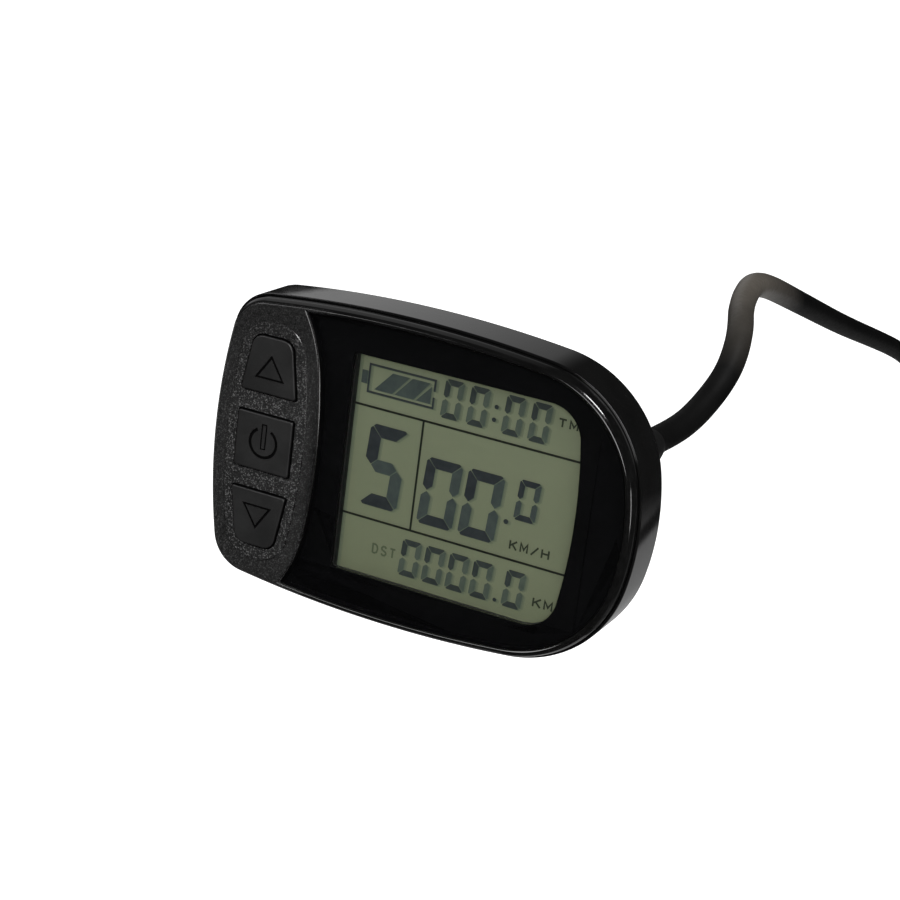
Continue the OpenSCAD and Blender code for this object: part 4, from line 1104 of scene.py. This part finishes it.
def add_border():
    # The dark line at the left side of the display, with two soft steps of painted shade beside it
    low, top = -WINDOW_HALF - 1, WINDOW_HALF + 1
    marks_piece("display_border", [box(WINDOW_LEFT - PAST_WINDOW, low, BORDER_X, top)], "line")
    for number, (ink, x1, x2) in enumerate(BORDER_SHADES, 1):
        ring = box(BORDER_X + x1, low, BORDER_X + x2, top)
        marks_piece(f"display_border_shade_{number}", [ring], ink, LCD_Z + 0.003, LCD_Z + 0.02)


def add_display():
    marks = {ink: [] for ink in LARGE_INKS + SMALL_INKS}
    battery(marks)
    digits(marks)
    marks["dark"] += [circle(*dot, 20) for dot in DOTS]
    for ink, rings in marks.items():
        marks_piece("marks_" + ink, rings, ink)
    for number, (ink, shift, low, high) in enumerate(SHADES, 1):
        move = Vector((shift, -shift * SHADE_FALL))
        rings = [[p + move for p in ring] for tone in marks.values() for ring in tone]
        marks_piece(f"marks_shadow_{number}", rings, ink, LCD_Z + low, LCD_Z + high)
    left, right = WINDOW_LEFT - PAST_WINDOW, WINDOW_RIGHT + PAST_WINDOW
    top, low = ROW_LINES
    lines = [box(left, y - LINE, right, y + LINE) for y in ROW_LINES]
    lines.append(box(COLUMN_LINE - LINE, low + LINE, COLUMN_LINE + LINE, top - LINE))
    marks_piece("dividers", lines, "line")
    marks_piece("labels", words(LABELS), "word")
    marks_piece("label_distance", words(DISTANCE_LABEL), "faint")
    add_border()
    from_cad("lcd_glass", display, 0.1)


# Buttons with rounded caps and engraved signs

CAP_ROUND = 0.35
CAP_STEPS = 5
CAP_LOW = FLANGE_LOW + 0.45
FLANGE_GROW = 0.9
PLUNGER_R = 2
SIGN_LOW = CAP_Z - 0.26
SIGN_TOP = CAP_Z + 0.5
TRIANGLE = ((-3.4, 13.2), (3.5, 13.2), (0.1, 18.35))
TRIANGLE_INNER = 0.74
RING_OUTER_R = 3.35
RING_INNER_R = 2.7
RING_GAP = math.radians(30)
RING_STEPS = 48
RING_SHIFT = 0.05
BAR_BOX = (-0.6, -1.4, 0.7, 4)
BAR_INNER = (0.5, 0.88)
BAR_CORNER_R = 0.2


def button(name, ring_at, signs, body, node, plunger_y):
    edge = [(0, CAP_LOW)]
    for turn in quarter_turns(CAP_STEPS):
        edge.append((-CAP_ROUND * (1 - math.cos(turn)), CAP_Z - CAP_ROUND * (1 - math.sin(turn))))
    piece = stepped(name, ring_at, edge)
    for sign in signs:
        combine(piece, sign)
    combine(piece, prism("flange", ring_at(FLANGE_GROW), FLANGE_LOW, FLANGE_HIGH), "UNION")
    stem = prism("plunger", circle(BUTTON_X, plunger_y, PLUNGER_R), STEM_Z, FLANGE_LOW + 0.2)
    combine(piece, stem, "UNION")
    finish_piece(piece, cap, body, node, angle=30)


def triangle_sign(way):
    points = [Vector((BUTTON_X + x, y * way)) for x, y in TRIANGLE]
    if way < 0:
        points.reverse()
    middle = sum(points, Vector((0, 0))) / 3
    inner = [middle + (p - middle) * TRIANGLE_INNER for p in points]
    return frame_prism("sign", points, inner, SIGN_LOW, SIGN_TOP)


def power_signs():
    # An open ring, and a bar whose middle stays raised
    start = math.pi / 2 + RING_GAP
    end = math.pi / 2 + math.tau - RING_GAP
    middle = Vector((BUTTON_X + RING_SHIFT, RING_SHIFT))
    steps = range(RING_STEPS + 1)
    ring = [middle + polar(RING_OUTER_R, start + (end - start) * i / RING_STEPS) for i in steps]
    ring += [middle + polar(RING_INNER_R, end + (start - end) * i / RING_STEPS) for i in steps]
    x1, y1, x2, y2 = BAR_BOX
    bar = rounded(box(BUTTON_X + x1, y1, BUTTON_X + x2, y2), [BAR_CORNER_R] * 4)
    middle = Vector((BUTTON_X + (x1 + x2) / 2, (y1 + y2) / 2))
    wide, high = BAR_INNER
    inner = [Vector((middle.x + (p.x - middle.x) * wide, middle.y + (p.y - middle.y) * high)) for p in bar]
    return [
        prism("ring", ring, SIGN_LOW, SIGN_TOP),
        frame_prism("bar", bar, inner, SIGN_LOW, SIGN_TOP),
    ]


def add_buttons():
    middle_y = ARROW_Y + ARROW_H / 2
    button("cap_power", power_outline, power_signs(), "power_key", "button_power", 0)
    button("cap_up", up_outline, [triangle_sign(1)], "up_key", "button_up", middle_y)
    button("cap_down", down_outline, [triangle_sign(-1)], "down_key", "button_down", -middle_y)


# Mount, gland, fasteners and the pieces inside

MOUNT = (
    # Node, material, slot, width of the rounded edges in millimetres and their steps
    ("clamp_saddle", clamp_plastic, "clamp_plastic", 0.4, 3),
    ("clamp_cap", clamp_plastic, "clamp_plastic", 0.4, 3),
    ("bar_sleeve", rubber, "sleeve_rubber", 0.25, 2),
    ("clamp_screws", steel, "clamp_steel", 0.2, 2),
    ("clamp_nuts", steel, "clamp_steel", 0.2, 2),
    ("saddle_screws", black_screw, "black_screw", 0.12, 2),
    ("case_screws", black_screw, "black_screw", 0.12, 2),
    ("cable_gland", gland_skin, "gland_rubber", 0.25, 3),
)


def add_mount():
    for node, material, slot, width, steps in MOUNT:
        from_cad(node, material, width, segments=steps)


INSIDE = (
    (rubber, ("case_seal", "lcd_gasket", "keypad_web")),
    (display, ("lcd_rear_glass",)),
    (pale, ("backlight", "lcd_tray", "wire_header", "wire_plug")),
    (strip, ("contact_strips",)),
    (laminate, ("circuit_board",)),
    (chip, ("controller_chip", "power_parts", "key_switches")),
    (wire, ("inner_wires",)),
    (zinc, ("switch_domes", "board_screws")),
    (insert, ("stem_up_key", "stem_power_key", "stem_down_key")),
    (cable_skin, ("cable_tail",)),
)


def dress_inside():
    for material, names in INSIDE:
        for name in names:
            mesh = nodes[name].data
            mesh.materials.clear()
            mesh.materials.append(material)


# Studio: a pale floor, a white surround and four soft lamps

FLOOR_Z = -0.26
FLOOR = (-2.5, -2.2, 2.5, 3.0)
LAMPS = (
    # Name, place, target, size in metres and power in watts
    ("lamp_key", (0.45, -0.12, 0.85), (0, 0, 0.02), 0.28, 9.0),
    ("lamp_fill", (0.3, -0.95, 0.62), (0, 0, 0.02), 0.8, 12.5),
    ("lamp_left", (-0.75, -0.6, 0.75), (0, 0, 0.02), 0.6, 5.0),
    ("lamp_right", (0.9, -0.25, -0.05), (0.03, 0, 0.0), 0.22, 0.8),
)


def add_world():
    # White to the camera all round; reflections find white behind and to the left, the rest dim
    world = bpy.data.worlds.new("studio")
    scene.world = world
    world.use_nodes = True
    world.node_tree.nodes.clear()
    sky = Nodes(world.node_tree, "Generated")
    axes = sky.axes()
    left = sky.span(axes["X"], 0, 1, -0.12, -0.48, "SMOOTHSTEP")
    behind = sky.span(axes["Y"], 0, 1, 0.25, 0.7, "SMOOTHSTEP")
    strength = sky.span(sky.times(left, behind), 0.02, 0.53, 0, 1)
    room = sky.node("ShaderNodeBackground", Color=(1, 1, 1), Strength=strength)
    white = sky.node("ShaderNodeBackground", Color=(1, 1, 1))
    rays = sky.node("ShaderNodeLightPath").outputs
    direct = sky.math("MAXIMUM", rays["Is Camera Ray"], rays["Is Transmission Ray"])
    shown = sky.mix_shaders(direct, room.outputs[0], white.outputs[0])
    sky.node("ShaderNodeOutputWorld", Surface=shown)


def add_lamps():
    for name, place, target, size, power in LAMPS:
        data = bpy.data.lights.new(name, "AREA")
        data.shape = "SQUARE"
        data.size = size
        data.energy = power
        lamp = bpy.data.objects.new(name, data)
        lamp.location = place
        lamp.rotation_euler = (Vector(target) - Vector(place)).to_track_quat("-Z", "Y").to_euler()
        scene.collection.objects.link(lamp)


def floor_material():
    # White to the camera with the object's shadow kept; in reflections it is white behind the
    # object, with a weaker card to the right of that, and a dim table elsewhere
    paint = Paint("floor")
    tone = paint.mix(paint.noise(0.4, 2), (0.86, 0.86, 0.86), (0.9, 0.9, 0.9))
    paint.set(Base_Color=tone, Roughness=0.9)
    rays = paint.node("ShaderNodeLightPath").outputs
    reach = paint.node("ShaderNodeVectorMath", paint.place, operation="LENGTH")
    level = paint.span(reach.outputs["Value"], 0.75, 1.0, 0.5, 1.1)
    glow = paint.node("ShaderNodeEmission", Strength=paint.times(rays["Is Camera Ray"], level))
    lit = paint.node("ShaderNodeAddShader", paint.shader.outputs[0], glow.outputs[0])
    axes = paint.axes()
    across = paint.math("SUBTRACT", axes["X"], paint.times(axes["Y"], 0.3))
    near = paint.span(axes["Y"], 0, 1, -0.05, 0.1)
    behind = paint.times(near, paint.span(axes["Y"], 1, 0.05, 0.44, 0.52))
    white = paint.span(across, 0.42, 0.0, 0.075, 0.085)
    patches = paint.span(paint.noise(0.05, 3, 0.6, (1, 0.2, 1)), 0.05, 0.24)
    card = paint.times(paint.span(across, 0, 1, 0.1, 0.112), paint.span(across, 1, 0, 0.2, 0.32), patches)
    sheen = paint.times(paint.math("ADD", white, card), behind)
    table = paint.node("ShaderNodeEmission", Strength=paint.math("MAXIMUM", sheen, 0.02))
    paint.show(paint.mix_shaders(rays["Is Glossy Ray"], lit.outputs[0], table.outputs[0]))
    return paint.material


def add_floor():
    corners = box(*FLOOR)
    floor = mesh_object("floor", [(*p, FLOOR_Z) for p in corners], [(0, 1, 2, 3)])
    floor.data.materials.append(floor_material())


def set_render():
    scene.render.engine = "CYCLES"
    scene.render.resolution_x = 900
    scene.render.resolution_y = 900
    scene.view_settings.view_transform = "Standard"


add_camera()
add_lead()
add_front_case()
add_rear_case()
add_window()
add_display()
add_buttons()
add_mount()
dress_inside()
add_world()
add_floor()
add_lamps()
set_render()
